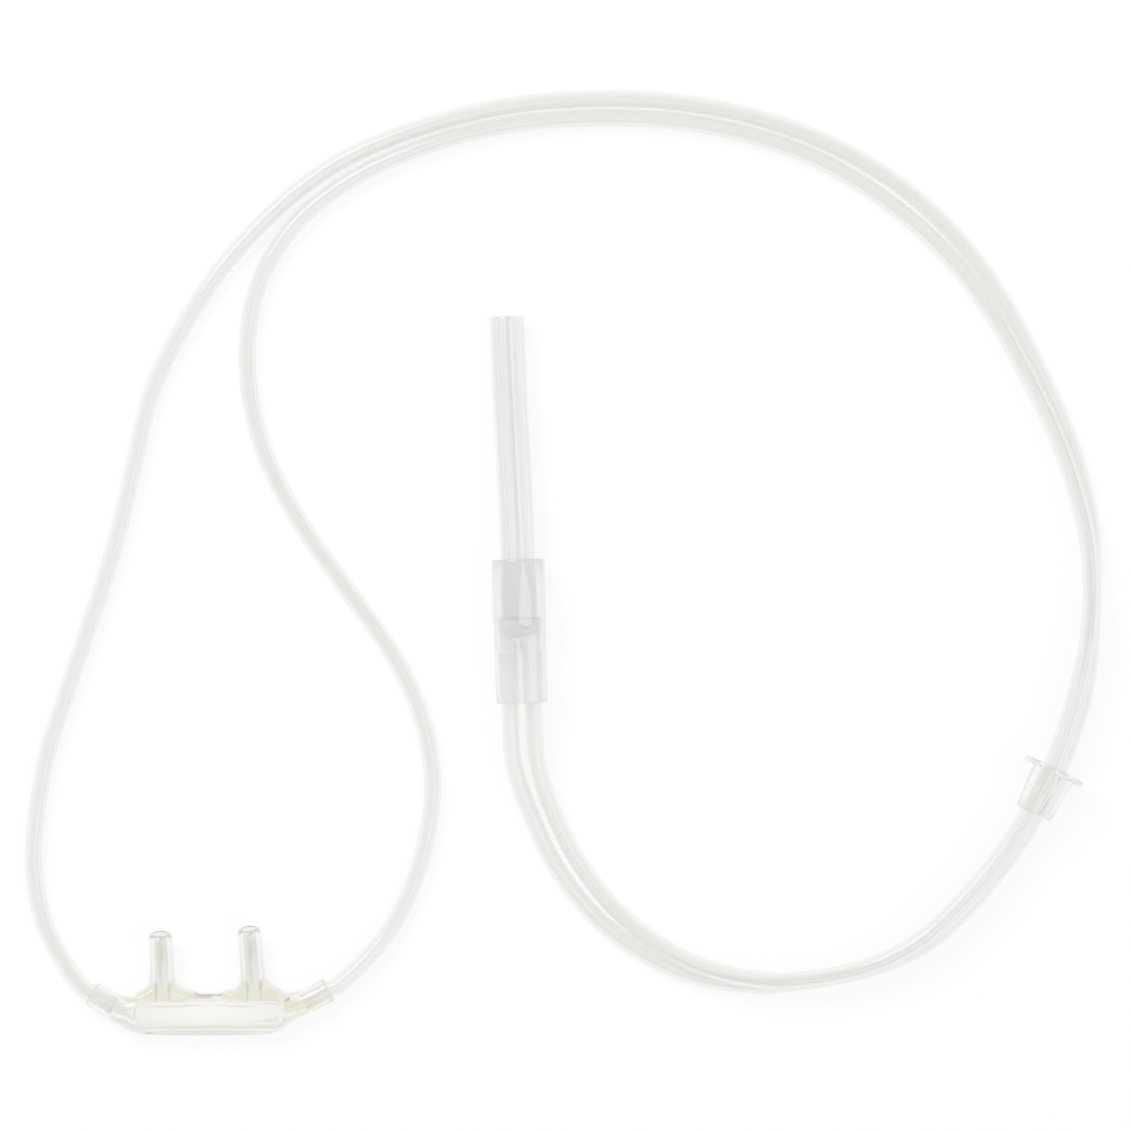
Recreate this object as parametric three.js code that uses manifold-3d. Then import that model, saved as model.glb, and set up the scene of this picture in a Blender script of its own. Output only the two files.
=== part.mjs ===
// Nasal oxygen cannula lying flat: a nosepiece with two prongs, two head tubes that run as a pair
// through a slider to a Y connector, and the cut stub of the wider supply tube.
// Millimetres, +Z up. The origin is on the floor under the middle of the nosepiece, +X runs along
// the nosepiece and +Y is the way that the prongs point.
import * as THREE from "three";
import { mergeVertices } from "three/addons/utils/BufferGeometryUtils.js";
import Module from "manifold-3d";

// Soft PVC tubing
const HEAD_TUBE_OUTER = 3.1; // outside diameter
const HEAD_TUBE_BORE = 2.0;
const SUPPLY_TUBE_OUTER = 6.3; // outside diameter
const SUPPLY_TUBE_BORE = 4.2;
const HEAD_TUBE_SIDES = 8;
const SUPPLY_TUBE_SIDES = 12;
const HEAD_TUBE_STEPS = 80;
const SUPPLY_TUBE_STEPS = 8;
const SOCKET_CLEARANCE = 0.2; // all round a tube in its socket
const END_GAP = 0.3; // between a tube's end and its socket's floor

// Nosepiece
const NOSE_AXIS_HEIGHT = 2.4;
const NOSE_BODY_RADIUS = 2.5; // half height of the body's section
const NOSE_ARM_RADIUS = 2.2; // the round collar at each end
const NOSE_BODY_STRETCH = 1.05; // half length of the straight part of the body's oval section
const NOSE_SOCKET_DEPTH = 5.0;
const NOSE_LUMEN = 2.4; // diameter of the gas path through the body
const PAD_LENGTH = 25.6;
const PAD_WIDTH = 3.7;
const PAD_MIDDLE_Y = 0.1;
const PAD_CORNER = 1.7;
const PAD_TOP = 5.3;
const PAD_ROOT = 3.0; // the pad's underside, inside the body
const PRONG_BASE_RADIUS = 2.35;
const PRONG_TIP_RADIUS = 2.1;
const PRONG_FLARE = 2.4; // how much wider each side of a prong is where it meets the body
const PRONG_BORE = 2.6;
const PRONG_OVERCUT = 1.0; // the bore's cutter runs this far past the tip
const COLLAR_STRAIGHT = 2.0; // a head tube leaves its collar straight for this far

// Y connector, in its own frame: y is the distance from its two-socket end
const CONNECTOR_FOOT = [55.1, 54.9]; // middle of the two-socket end
const CONNECTOR_LEAN = 1.6; // degrees from +Y
const CONNECTOR_LENGTH = 25.5;
const CONNECTOR_OUTER = 9.46; // the supply tube's end
const CONNECTOR_RIM = 0.35; // rounding of both ends
const BRANCH_RADIUS = 3.2; // half height of the oval lower part
const BRANCH_STRETCH = 1.4;
const BRANCH_LENGTH = 11.6;
const SHOULDER_LENGTH = 2.6; // from the oval part to the round part
const BRANCH_SPACING = 4.16; // between the two sockets' axes
const BRANCH_SOCKET_DEPTH = 9.3;
const BRANCH_LUMEN = 2.4;
const CHAMBER_START = 12.5; // top of the web between the two sockets
const SUPPLY_SOCKET_DEPTH = 10.3;
const VALLEY_HEIGHT = 4.2; // from the connector's axis to the axis of the valley's round cut
const VALLEY_RADIUS = 1.6;
const SUPPLY_STRAIGHT = 4.0; // the supply tube leaves its socket straight for this far

// Tube pair: the outer tube lies below and the inner one leans over it
const PAIR_GAP = 0.3;
const PAIR_SPACING = HEAD_TUBE_OUTER + PAIR_GAP;
const ARC_CENTRE = [74.6, 75.7]; // the slider's stretch of the pair is part of this circle
const ARC_RADIUS = 81.3;
const CONNECTOR_APPROACH = 3.0; // the pair is straight this far before the connector
const CONNECTOR_RUN_UP = [0.3, -10.0]; // and starts to line up here, in the connector's frame
const RUN_UP_LIFT = 0.9; // with this share of the height that it enters at
const LIFT_BEFORE = 0.7; // shares of the slider's lift at the station before its stretch
const LIFT_AFTER = 0.6; // and at the two stations after it
const LIFT_LAST = 0.2;

// Slider
const SLIDER_ANGLE = -26.5; // where it stands on the arc, in degrees from +X
const SLIDER_LEAN = 57; // degrees that the pair leans inside it
const SLIDER_LENGTH = 8.9;
const SLIDER_CLEARANCE = 0.3; // all round the pair
const SLIDER_WALL = 0.8; // at the narrow end
const SLIDER_TAPER = 0.55; // extra outer radius at the flange end
const FLANGE_THICKNESS = 1.1;
const FLANGE_HALF_WIDTH = 5.7;
const SLIDER_FLOOR_GAP = 0.15;
const SLIDER_BORE_RADIUS = HEAD_TUBE_OUTER / 2 + SLIDER_CLEARANCE;
const SLIDER_END_RADIUS = SLIDER_BORE_RADIUS + SLIDER_WALL;
const SLIDER_FLANGE_END_RADIUS = SLIDER_END_RADIUS + SLIDER_TAPER;
const SLIDER_LIFT = SLIDER_FLANGE_END_RADIUS + SLIDER_FLOOR_GAP - HEAD_TUBE_OUTER / 2;

const FLOOR_CUT = 60; // size of the block that flattens the nosepiece's underside
const FINE_SIDES = 24;
const BORE_SIDES = 16;
const NOSE_RINGS = 26;
const LUMEN_RINGS = 20;
const PRONG_RINGS = 10;
const PRONG_BORE_RINGS = 8;
const PAD_CORNER_STEPS = 4;
const OVERCUT = 1.0; // how far a socket's cutter runs out of its mouth
const WELD = 1e-4; // points closer than this are one point
const UP = new THREE.Vector3(0, 0, 1);

const wasm = await Module();
wasm.setup();

function radians(degrees) {
  return (degrees * Math.PI) / 180;
}

function vector(x, y, z) {
  return new THREE.Vector3(x, y, z);
}

function material(colour, roughness, opacity) {
  const made = new THREE.MeshStandardMaterial({ color: colour, roughness, metalness: 0 });
  made.transparent = opacity < 1;
  made.opacity = opacity;
  return made;
}

const tubing = material(0xdde2da, 0.25, 0.6);
const moulded = material(0xd9dccb, 0.3, 0.6);
const connectorPlastic = material(0xd2d4d0, 0.3, 0.7);

// three.js geometry to a solid and back
function solid(geometry) {
  const bare = geometry.clone();
  bare.deleteAttribute("normal");
  bare.deleteAttribute("uv");
  const merged = mergeVertices(bare, WELD);
  const mesh = new wasm.Mesh({
    numProp: 3,
    vertProperties: Float32Array.from(merged.attributes.position.array),
    triVerts: Uint32Array.from(merged.index.array),
  });
  return new wasm.Manifold(mesh);
}

function geometryOf(manifold) {
  const mesh = manifold.getMesh();
  const geometry = new THREE.BufferGeometry();
  geometry.setAttribute("position", new THREE.BufferAttribute(mesh.vertProperties, 3));
  geometry.setIndex(new THREE.BufferAttribute(mesh.triVerts, 1));
  geometry.computeVertexNormals();
  return geometry;
}

function united(geometries) {
  return geometries.map(solid).reduce((whole, next) => whole.add(next));
}

function cut(whole, geometries) {
  return geometries.map(solid).reduce((left, next) => left.subtract(next), whole);
}

// A closed skin over a row of rings. A ring has a middle, the directions across and up, the radius
// of its round ends and the stretch of its oval: half the straight length between them.
function skinned(rings, sides) {
  const geometry = new THREE.CylinderGeometry(1, 1, 1, sides, rings.length - 1);
  const position = geometry.attributes.position;
  for (let index = 0; index < position.count; index += 1) {
    const row = Math.round((0.5 - position.getY(index)) * (rings.length - 1));
    const ring = rings[row];
    const acrossPart = position.getX(index);
    const side = Math.abs(acrossPart) < WELD ? 0 : Math.sign(acrossPart);
    const point = ring.middle.clone();
    point.addScaledVector(ring.across, acrossPart * ring.radius + side * ring.stretch);
    point.addScaledVector(ring.up, position.getZ(index) * ring.radius);
    position.setXYZ(index, point.x, point.y, point.z);
  }
  geometry.computeVertexNormals();
  return geometry;
}

// Rings square to a curve, with radius and stretch read from a second curve at the same place
function ringsAlong(path, sizes, count) {
  const rings = [];
  for (let index = 0; index <= count; index += 1) {
    const place = index / count;
    const along = path.getTangent(place);
    const across = vector(0, 0, 0).crossVectors(UP, along).normalize();
    const up = vector(0, 0, 0).crossVectors(along, across);
    const size = sizes.getPoint(place);
    rings.push({ middle: path.getPoint(place), across, up, radius: size.x, stretch: size.y });
  }
  return rings;
}

// A straight body along `along`, from rows of [distance, radius, stretch]
function straightRings(start, along, acrossHint, rows) {
  const up = vector(0, 0, 0).crossVectors(along, acrossHint).normalize();
  const across = vector(0, 0, 0).crossVectors(up, along);
  return rows.map(([distance, radius, stretch]) => ({
    middle: start.clone().addScaledVector(along, distance),
    across,
    up,
    radius,
    stretch,
  }));
}

function straightCutter(start, along, length, radius, stretch) {
  const acrossHint = vector(0, 0, 0).crossVectors(UP, along);
  const rows = [
    [0, radius, stretch],
    [length, radius, stretch],
  ];
  return skinned(straightRings(start, along, acrossHint, rows), BORE_SIDES);
}

// A polygon with its corners on a circle, and a hole of the same kind
function tubeSection(outer, bore, sides) {
  const corners = (diameter) =>
    Array.from({ length: sides }, (_, index) => {
      const angle = (2 * Math.PI * (index + 0.5)) / sides;
      return new THREE.Vector2(Math.cos(angle), Math.sin(angle)).multiplyScalar(diameter / 2);
    });
  const section = new THREE.Shape(corners(outer));
  section.holes.push(new THREE.Path(corners(bore).reverse()));
  return section;
}

function hose(points, outer, bore, sides, steps) {
  const path = new THREE.CatmullRomCurve3(points, false, "catmullrom", 0.5);
  return new THREE.ExtrudeGeometry(tubeSection(outer, bore, sides), { steps, extrudePath: path });
}

// A point in the connector's own frame, taken to the model's frame
function connectorPoint(x, y) {
  const point = vector(x, y, CONNECTOR_OUTER / 2).applyAxisAngle(UP, radians(CONNECTOR_LEAN));
  return point.add(vector(CONNECTOR_FOOT[0], CONNECTOR_FOOT[1], 0));
}

const connectorAlong = vector(0, 1, 0).applyAxisAngle(UP, radians(CONNECTOR_LEAN));

// A station of the pair on the slider's circle arc
function arcStation(angle, lean, lift) {
  const x = ARC_CENTRE[0] + ARC_RADIUS * Math.cos(radians(angle));
  const y = ARC_CENTRE[1] + ARC_RADIUS * Math.sin(radians(angle));
  return [x, y, lean, lift, 0];
}

const CONNECTOR_LIFT = (CONNECTOR_OUTER - HEAD_TUBE_OUTER) / 2;
const CONNECTOR_SPREAD = BRANCH_SPACING - PAIR_SPACING;
const connectorMouth = connectorPoint(0, 0);
const connectorApproach = connectorPoint(0, -CONNECTOR_APPROACH);
const connectorRunUp = connectorPoint(...CONNECTOR_RUN_UP);

// The pair's middle line seen from above, from the top of the loop round to the connector:
// x, y, the lean of the inner tube over the outer one in degrees, the lower tube's lift off the
// floor and the room between the two tubes beyond PAIR_GAP
const PAIR_ROUTE = [
  [26.0, 150.4, 0, 0, 0.4],
  [39.1, 155.7, 0, 0, 0],
  [52.8, 159.0, 0, 0, 0],
  [66.8, 160.2, 0, 0, 0],
  [80.9, 159.8, 0, 0, 0],
  [94.8, 157.4, 0, 0, 0],
  [108.0, 152.8, 0, 0, 0],
  [120.2, 145.7, 0, 0, 0.2],
  [130.7, 136.4, 12, 0, 0.1],
  [139.1, 125.2, 30, 0, 0],
  [145.8, 112.8, 44, 0, 0],
  [151.5, 99.9, 52, 0, 0],
  arcStation(7.5, 64, 0),
  arcStation(0, 80, 0),
  arcStation(-7, 74, SLIDER_LIFT * LIFT_BEFORE),
  arcStation(-13, SLIDER_LEAN, SLIDER_LIFT),
  arcStation(-19, SLIDER_LEAN, SLIDER_LIFT),
  arcStation(-25, SLIDER_LEAN, SLIDER_LIFT),
  arcStation(-32, SLIDER_LEAN, SLIDER_LIFT),
  arcStation(-39, SLIDER_LEAN, SLIDER_LIFT),
  arcStation(-45, SLIDER_LEAN, SLIDER_LIFT),
  arcStation(-51, 64, SLIDER_LIFT * LIFT_AFTER),
  [117.3, 8.4, 76, SLIDER_LIFT * LIFT_LAST, 0],
  [107.2, 6.1, 82, 0, 0],
  [96.2, 5.5, 68, 0, 0],
  [83.5, 8.5, 44, 0, 0],
  [71.7, 16.0, 12, 0, 0.1],
  [63.3, 26.0, 0, 0.5, 0.4],
  [58.0, 37.0, 0, 1.7, 0.5],
  [connectorRunUp.x, connectorRunUp.y, 0, CONNECTOR_LIFT * RUN_UP_LIFT, CONNECTOR_SPREAD],
  [connectorApproach.x, connectorApproach.y, 0, CONNECTOR_LIFT, CONNECTOR_SPREAD],
  [connectorMouth.x, connectorMouth.y, 0, CONNECTOR_LIFT, CONNECTOR_SPREAD],
];

// One tube's points along the pair: side is 1 for the outer tube and -1 for the inner one
function pairSide(side) {
  const middle = new THREE.CatmullRomCurve3(
    PAIR_ROUTE.map(([x, y]) => vector(x, y, 0)), false, "catmullrom", 0.5);
  return PAIR_ROUTE.map(([x, y, lean, lift, spread], index) => {
    const along = middle.getTangent(index / (PAIR_ROUTE.length - 1));
    const outward = vector(0, 0, 0).crossVectors(UP, along);
    const apart = (PAIR_SPACING + spread) / 2;
    const rise = apart * Math.sin(radians(lean)) * (1 - side);
    const point = vector(x, y, HEAD_TUBE_OUTER / 2 + lift + rise);
    return point.addScaledVector(outward, side * apart * Math.cos(radians(lean)));
  });
}

// Nosepiece body, collar mouth to collar mouth: x, y, radius, stretch
const NOSE_STATIONS = [
  [-21.1, 3.5, NOSE_ARM_RADIUS, 0],
  [-17.9, 1.65, NOSE_ARM_RADIUS, 0],
  [-15.4, 0.45, 2.4, 0.35],
  [-12.6, -0.15, NOSE_BODY_RADIUS, NOSE_BODY_STRETCH],
  [-8.1, -0.45, NOSE_BODY_RADIUS, NOSE_BODY_STRETCH],
  [0, -0.5, NOSE_BODY_RADIUS, NOSE_BODY_STRETCH],
  [7.8, -0.35, NOSE_BODY_RADIUS, NOSE_BODY_STRETCH],
  [11.0, 0.2, NOSE_BODY_RADIUS, NOSE_BODY_STRETCH],
  [13.9, 1.1, 2.4, 0.15],
  [16.9, 2.1, NOSE_ARM_RADIUS, 0],
  [20.9, 4.15, NOSE_ARM_RADIUS, 0],
];
const nosePath = new THREE.CatmullRomCurve3(
  NOSE_STATIONS.map(([x, y]) => vector(x, y, NOSE_AXIS_HEIGHT)), false, "catmullrom", 0.5);
const noseSizes = new THREE.CatmullRomCurve3(
  NOSE_STATIONS.map(([, , radius, stretch]) => vector(radius, stretch, 0)), false,
  "catmullrom", 0.5);

// Each collar's mouth and the way into it
function noseMouth(end) {
  const mouth = nosePath.getPoint(end);
  const inward = nosePath.getTangent(end).multiplyScalar(end === 0 ? 1 : -1);
  return { mouth, inward };
}

// Prong middle lines: they rise towards the tips
const PRONG_ROUTES = {
  left: [
    [-8.4, -0.3, 2.4],
    [-8.5, 3.3, 2.45],
    [-8.55, 6.0, 2.65],
    [-8.65, 10.0, 3.3],
    [-8.7, 14.3, 4.7],
  ],
  right: [
    [7.8, -0.3, 2.4],
    [7.7, 3.6, 2.45],
    [7.5, 6.4, 2.65],
    [7.2, 10.6, 3.3],
    [6.9, 15.2, 4.8],
  ],
};
const PRONG_SIZES = [
  [PRONG_BASE_RADIUS, PRONG_FLARE],
  [PRONG_BASE_RADIUS, PRONG_FLARE],
  [PRONG_BASE_RADIUS, 0.1],
  [PRONG_TIP_RADIUS + 0.05, 0],
  [PRONG_TIP_RADIUS, 0],
];

function prong(route) {
  const path = new THREE.CatmullRomCurve3(
    route.map(([x, y, z]) => vector(x, y, z)), false, "catmullrom", 0.5);
  const sizes = new THREE.CatmullRomCurve3(
    PRONG_SIZES.map(([radius, stretch]) => vector(radius, stretch, 0)), false,
    "catmullrom", 0.5);
  const tip = path.getPoint(1).addScaledVector(path.getTangent(1), PRONG_OVERCUT);
  const boreRoute = [...route.map(([x, y, z]) => vector(x, y, z)), tip];
  const borePath = new THREE.CatmullRomCurve3(boreRoute, false, "catmullrom", 0.5);
  const boreSizes = new THREE.CatmullRomCurve3(
    boreRoute.map(() => vector(PRONG_BORE / 2, 0, 0)));
  return {
    body: skinned(ringsAlong(path, sizes, PRONG_RINGS), FINE_SIDES),
    bore: skinned(ringsAlong(borePath, boreSizes, PRONG_BORE_RINGS), BORE_SIDES),
  };
}

function padGeometry() {
  const halfLength = PAD_LENGTH / 2;
  const halfWidth = PAD_WIDTH / 2;
  const outline = new THREE.Shape();
  outline.moveTo(-halfLength + PAD_CORNER, -halfWidth);
  outline.lineTo(halfLength - PAD_CORNER, -halfWidth);
  outline.absarc(halfLength - PAD_CORNER, -halfWidth + PAD_CORNER, PAD_CORNER, -Math.PI / 2, 0);
  outline.absarc(halfLength - PAD_CORNER, halfWidth - PAD_CORNER, PAD_CORNER, 0, Math.PI / 2);
  outline.absarc(
    -halfLength + PAD_CORNER, halfWidth - PAD_CORNER, PAD_CORNER, Math.PI / 2, Math.PI);
  outline.absarc(
    -halfLength + PAD_CORNER, -halfWidth + PAD_CORNER, PAD_CORNER, Math.PI, 1.5 * Math.PI);
  const geometry = new THREE.ExtrudeGeometry(outline, {
    depth: PAD_TOP - PAD_ROOT,
    bevelEnabled: false,
    curveSegments: PAD_CORNER_STEPS,
  });
  return geometry.translate(0, PAD_MIDDLE_Y, PAD_ROOT);
}

function nosepieceGeometry() {
  const body = skinned(ringsAlong(nosePath, noseSizes, NOSE_RINGS), FINE_SIDES);
  const prongs = Object.values(PRONG_ROUTES).map(prong);
  const whole = united([body, padGeometry(), ...prongs.map((one) => one.body)]);
  const lumenSizes = new THREE.CatmullRomCurve3(
    NOSE_STATIONS.map(() => vector(NOSE_LUMEN / 2, 0, 0)));
  const lumen = skinned(ringsAlong(nosePath, lumenSizes, LUMEN_RINGS), BORE_SIDES);
  const sockets = [0, 1].map((end) => {
    const { mouth, inward } = noseMouth(end);
    const start = mouth.clone().addScaledVector(inward, -OVERCUT);
    const radius = HEAD_TUBE_OUTER / 2 + SOCKET_CLEARANCE;
    return straightCutter(start, inward, NOSE_SOCKET_DEPTH + OVERCUT, radius, 0);
  });
  const floor = new THREE.BoxGeometry(FLOOR_CUT, FLOOR_CUT, FLOOR_CUT);
  floor.translate(0, 0, -FLOOR_CUT / 2);
  return geometryOf(cut(whole, [lumen, ...sockets, ...prongs.map((one) => one.bore), floor]));
}

// From the floor of a collar's socket, out of its mouth and along the tube's own route
function collarPoints(end) {
  const { mouth, inward } = noseMouth(end);
  const depths = [NOSE_SOCKET_DEPTH - END_GAP, 0, -COLLAR_STRAIGHT];
  return depths.map((depth) => mouth.clone().addScaledVector(inward, depth));
}

const LEFT_TUBE_ROUTE = [
  [-26.2, 9.3, 2.1],
  [-30.0, 17.0, 1.6],
  [-31.5, 28.9, 0],
  [-29.3, 44.8, 0],
  [-26.0, 55.4, 0],
  [-22.5, 66.0, 0],
  [-18.9, 76.6, 0],
  [-15.9, 87.3, 0],
  [-13.5, 97.9, 0],
  [-11.0, 108.5, 0],
  [-7.9, 116.0, 0],
  [-3.8, 123.5, 0],
  [1.6, 131.6, 0],
  [8.3, 139.2, 0],
  [16.0, 146.2, 0],
];
const RIGHT_TUBE_ROUTE = [
  [27.4, 9.4, 2.1],
  [33.0, 16.8, 1.6],
  [37.2, 27.0, 0],
  [39.2, 38.0, 0],
  [38.5, 47.5, 0],
  [35.3, 57.5, 0],
  [29.9, 67.0, 0],
  [22.9, 76.6, 0],
  [15.5, 87.3, 0],
  [9.9, 97.9, 0],
  [7.0, 108.5, 0],
  [6.4, 117.5, 0],
  [7.4, 125.5, 0],
  [10.3, 133.2, 0],
  [16.6, 141.5, 0],
];

// Route points give how far up the tube still is: never lower than lying on the floor
function ownPoints(route) {
  return route.map(([x, y, z]) => vector(x, y, Math.max(z, HEAD_TUBE_OUTER / 2)));
}

function branchEnd(side) {
  const x = (-side * BRANCH_SPACING) / 2;
  return connectorPoint(x, BRANCH_SOCKET_DEPTH - END_GAP);
}

function headTube(end, route, side) {
  const points = [...collarPoints(end), ...ownPoints(route), ...pairSide(side), branchEnd(side)];
  return hose(points, HEAD_TUBE_OUTER, HEAD_TUBE_BORE, HEAD_TUBE_SIDES, HEAD_TUBE_STEPS);
}

function supplyTube() {
  const inside = connectorPoint(0, CONNECTOR_LENGTH - SUPPLY_SOCKET_DEPTH + END_GAP);
  const points = [
    inside,
    connectorPoint(0, CONNECTOR_LENGTH),
    connectorPoint(0, CONNECTOR_LENGTH + SUPPLY_STRAIGHT),
    vector(53.6, 98.0, 4.1),
    vector(52.9, 111.0, 3.35),
    vector(52.4, 123.2, SUPPLY_TUBE_OUTER / 2),
  ];
  return hose(
    points, SUPPLY_TUBE_OUTER, SUPPLY_TUBE_BORE, SUPPLY_TUBE_SIDES, SUPPLY_TUBE_STEPS);
}

function connectorGeometry() {
  const outerRadius = CONNECTOR_OUTER / 2;
  const roundStart = BRANCH_LENGTH + SHOULDER_LENGTH;
  const rows = [
    [0, BRANCH_RADIUS - CONNECTOR_RIM, BRANCH_STRETCH],
    [CONNECTOR_RIM, BRANCH_RADIUS, BRANCH_STRETCH],
    [BRANCH_LENGTH, BRANCH_RADIUS, BRANCH_STRETCH],
    [roundStart, outerRadius, 0],
    [CONNECTOR_LENGTH - CONNECTOR_RIM, outerRadius, 0],
    [CONNECTOR_LENGTH, outerRadius - CONNECTOR_RIM, 0],
  ];
  const across = vector(0, 0, 0).crossVectors(UP, connectorAlong);
  const body = skinned(
    straightRings(connectorPoint(0, 0), connectorAlong, across, rows), FINE_SIDES);
  const socketRadius = HEAD_TUBE_OUTER / 2 + SOCKET_CLEARANCE;
  const branches = [-1, 1].flatMap((side) => {
    const x = (side * BRANCH_SPACING) / 2;
    return [
      straightCutter(
        connectorPoint(x, -OVERCUT), connectorAlong, BRANCH_SOCKET_DEPTH + OVERCUT,
        socketRadius, 0),
      straightCutter(
        connectorPoint(x, BRANCH_SOCKET_DEPTH / 2), connectorAlong,
        CHAMBER_START - BRANCH_SOCKET_DEPTH / 2 + OVERCUT, BRANCH_LUMEN / 2, 0),
    ];
  });
  const chamberLength = CONNECTOR_LENGTH - SUPPLY_SOCKET_DEPTH - CHAMBER_START;
  const chamber = straightCutter(
    connectorPoint(0, CHAMBER_START), connectorAlong, chamberLength + OVERCUT,
    BRANCH_LUMEN / 2, BRANCH_SPACING / 2);
  const supplySocket = straightCutter(
    connectorPoint(0, CONNECTOR_LENGTH - SUPPLY_SOCKET_DEPTH), connectorAlong,
    SUPPLY_SOCKET_DEPTH + OVERCUT, SUPPLY_TUBE_OUTER / 2 + SOCKET_CLEARANCE, 0);
  const valleys = [-1, 1].map((side) => {
    const start = connectorPoint(0, -OVERCUT).addScaledVector(UP, side * VALLEY_HEIGHT);
    return straightCutter(start, connectorAlong, BRANCH_LENGTH + OVERCUT, VALLEY_RADIUS, 0);
  });
  return geometryOf(cut(solid(body), [...valleys, ...branches, chamber, supplySocket]));
}

// The slider's tapered oval sleeve and its flange, leaning like the pair inside it
function sliderGeometry() {
  const angle = radians(SLIDER_ANGLE);
  const outward = vector(Math.cos(angle), Math.sin(angle), 0);
  const along = vector(Math.sin(angle), -Math.cos(angle), 0);
  const lean = radians(SLIDER_LEAN);
  const across = outward.clone().multiplyScalar(-Math.cos(lean)).addScaledVector(UP, Math.sin(lean));
  const half = PAIR_SPACING / 2;
  const height = HEAD_TUBE_OUTER / 2 + SLIDER_LIFT + half * Math.sin(lean);
  const middle = vector(ARC_CENTRE[0], ARC_CENTRE[1], height).addScaledVector(outward, ARC_RADIUS);
  const start = middle.clone().addScaledVector(along, -SLIDER_LENGTH / 2);
  const body = skinned(
    straightRings(start, along, across, [
      [0, SLIDER_FLANGE_END_RADIUS, half],
      [SLIDER_LENGTH, SLIDER_END_RADIUS, half],
    ]), FINE_SIDES);
  const flangeRadius = height - SLIDER_FLOOR_GAP;
  const flange = skinned(
    straightRings(start, along, outward, [
      [0, flangeRadius, FLANGE_HALF_WIDTH - flangeRadius],
      [FLANGE_THICKNESS, flangeRadius, FLANGE_HALF_WIDTH - flangeRadius],
    ]), FINE_SIDES);
  const bore = skinned(
    straightRings(start.clone().addScaledVector(along, -OVERCUT), along, across, [
      [0, SLIDER_BORE_RADIUS, half],
      [SLIDER_LENGTH + 2 * OVERCUT, SLIDER_BORE_RADIUS, half],
    ]), FINE_SIDES);
  return geometryOf(cut(united([body, flange]), [bore]));
}

function named(name, geometry, surface) {
  const mesh = new THREE.Mesh(geometry, surface);
  mesh.name = name;
  return mesh;
}

const cannula = new THREE.Group();
cannula.name = "nasal_cannula";
cannula.add(
  named("nosepiece", nosepieceGeometry(), moulded),
  named("head_tube_left", headTube(0, LEFT_TUBE_ROUTE, 1), tubing),
  named("head_tube_right", headTube(1, RIGHT_TUBE_ROUTE, -1), tubing),
  named("slider", sliderGeometry(), moulded),
  named("y_connector", connectorGeometry(), connectorPlastic),
  named("supply_tube", supplyTube(), tubing),
);

export default cannula;
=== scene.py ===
"""Nasal oxygen cannula lying flat: nosepiece, head tubes, slider, Y connector and supply tube.

Everything is in metres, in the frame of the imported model: the origin is on the floor under the
middle of the nosepiece, +X runs along the nosepiece and +Y is the way that the prongs point.
"""

import logging
import math
from collections.abc import Callable, Sequence
from dataclasses import dataclass, field
from enum import Enum
from typing import Any

import bmesh
import bpy
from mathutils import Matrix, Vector


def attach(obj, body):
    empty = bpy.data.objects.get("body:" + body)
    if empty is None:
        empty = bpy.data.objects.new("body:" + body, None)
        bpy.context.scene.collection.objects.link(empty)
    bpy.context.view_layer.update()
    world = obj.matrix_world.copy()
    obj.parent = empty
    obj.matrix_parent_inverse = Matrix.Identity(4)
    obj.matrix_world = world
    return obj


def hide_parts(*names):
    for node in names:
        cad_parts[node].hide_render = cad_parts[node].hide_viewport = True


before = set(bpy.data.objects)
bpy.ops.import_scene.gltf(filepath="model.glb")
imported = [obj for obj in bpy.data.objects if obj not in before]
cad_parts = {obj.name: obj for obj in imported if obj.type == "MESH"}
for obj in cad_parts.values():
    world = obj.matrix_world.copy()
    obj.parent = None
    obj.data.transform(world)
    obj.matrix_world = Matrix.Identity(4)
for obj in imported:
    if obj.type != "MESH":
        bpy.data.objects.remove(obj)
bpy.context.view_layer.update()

LOG = logging.getLogger("cannula")

# A row is a section's distance, radius and stretch. A station is x, y, lean, lift and extra room.
Colour = tuple[float, float, float]
Point = tuple[float, float, float]
Row = tuple[float, float, float]
Station = tuple[float, float, float, float, float]
Socket = bpy.types.NodeSocket

UP = Vector((0.0, 0.0, 1.0))

# Mesh making: how near points are merged, how far a cutter passes the face that it opens,
# and the steps for each chosen point of a route when its length is measured
WELD = 0.0000003
OVERRUN = 0.001
MEASURING_STEPS = 24

# Soft PVC tubing
HEAD_TUBE_OUTER = 0.0031
HEAD_TUBE_BORE = 0.0020
SUPPLY_TUBE_OUTER = 0.0063
SUPPLY_TUBE_BORE = 0.0044
SOCKET_CLEARANCE = 0.0001
END_GAP = 0.0003

# Tube pair and the circle arc that the slider travels on
PAIR_SPACING = HEAD_TUBE_OUTER + 0.00022
ARC_CENTRE = (0.0746, 0.0757)
ARC_RADIUS = 0.0813
SLIDER_ANGLE = -26.5
SLIDER_LEAN = 57.0
SLIDER_LIFT = 0.0018

# Y connector
CONNECTOR_FOOT = (0.0551, 0.0549)
CONNECTOR_LEAN = 1.6
CONNECTOR_LENGTH = 0.0255
CONNECTOR_OUTER = 0.00946
BRANCH_SPACING = 0.00416
BRANCH_SOCKET_DEPTH = 0.0093
SUPPLY_SOCKET_DEPTH = 0.0103

# Nosepiece
NOSE_AXIS_HEIGHT = 0.0024
NOSE_SOCKET_DEPTH = 0.0050

# Marks in clear PVC: how many to the metre, or round a hose, and how strong they are
FLOW_MARKS = 600.0
DIE_LINES_ALONG = 45.0
DIE_LINES_ROUND = 5.0
HAZE_START = 0.35
HAZE_GAIN = 1.6
GRAIN_HEIGHT = 0.35
STREAK_ROUGHNESS = 0.08
PVC_REFRACTION = 1.52

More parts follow.
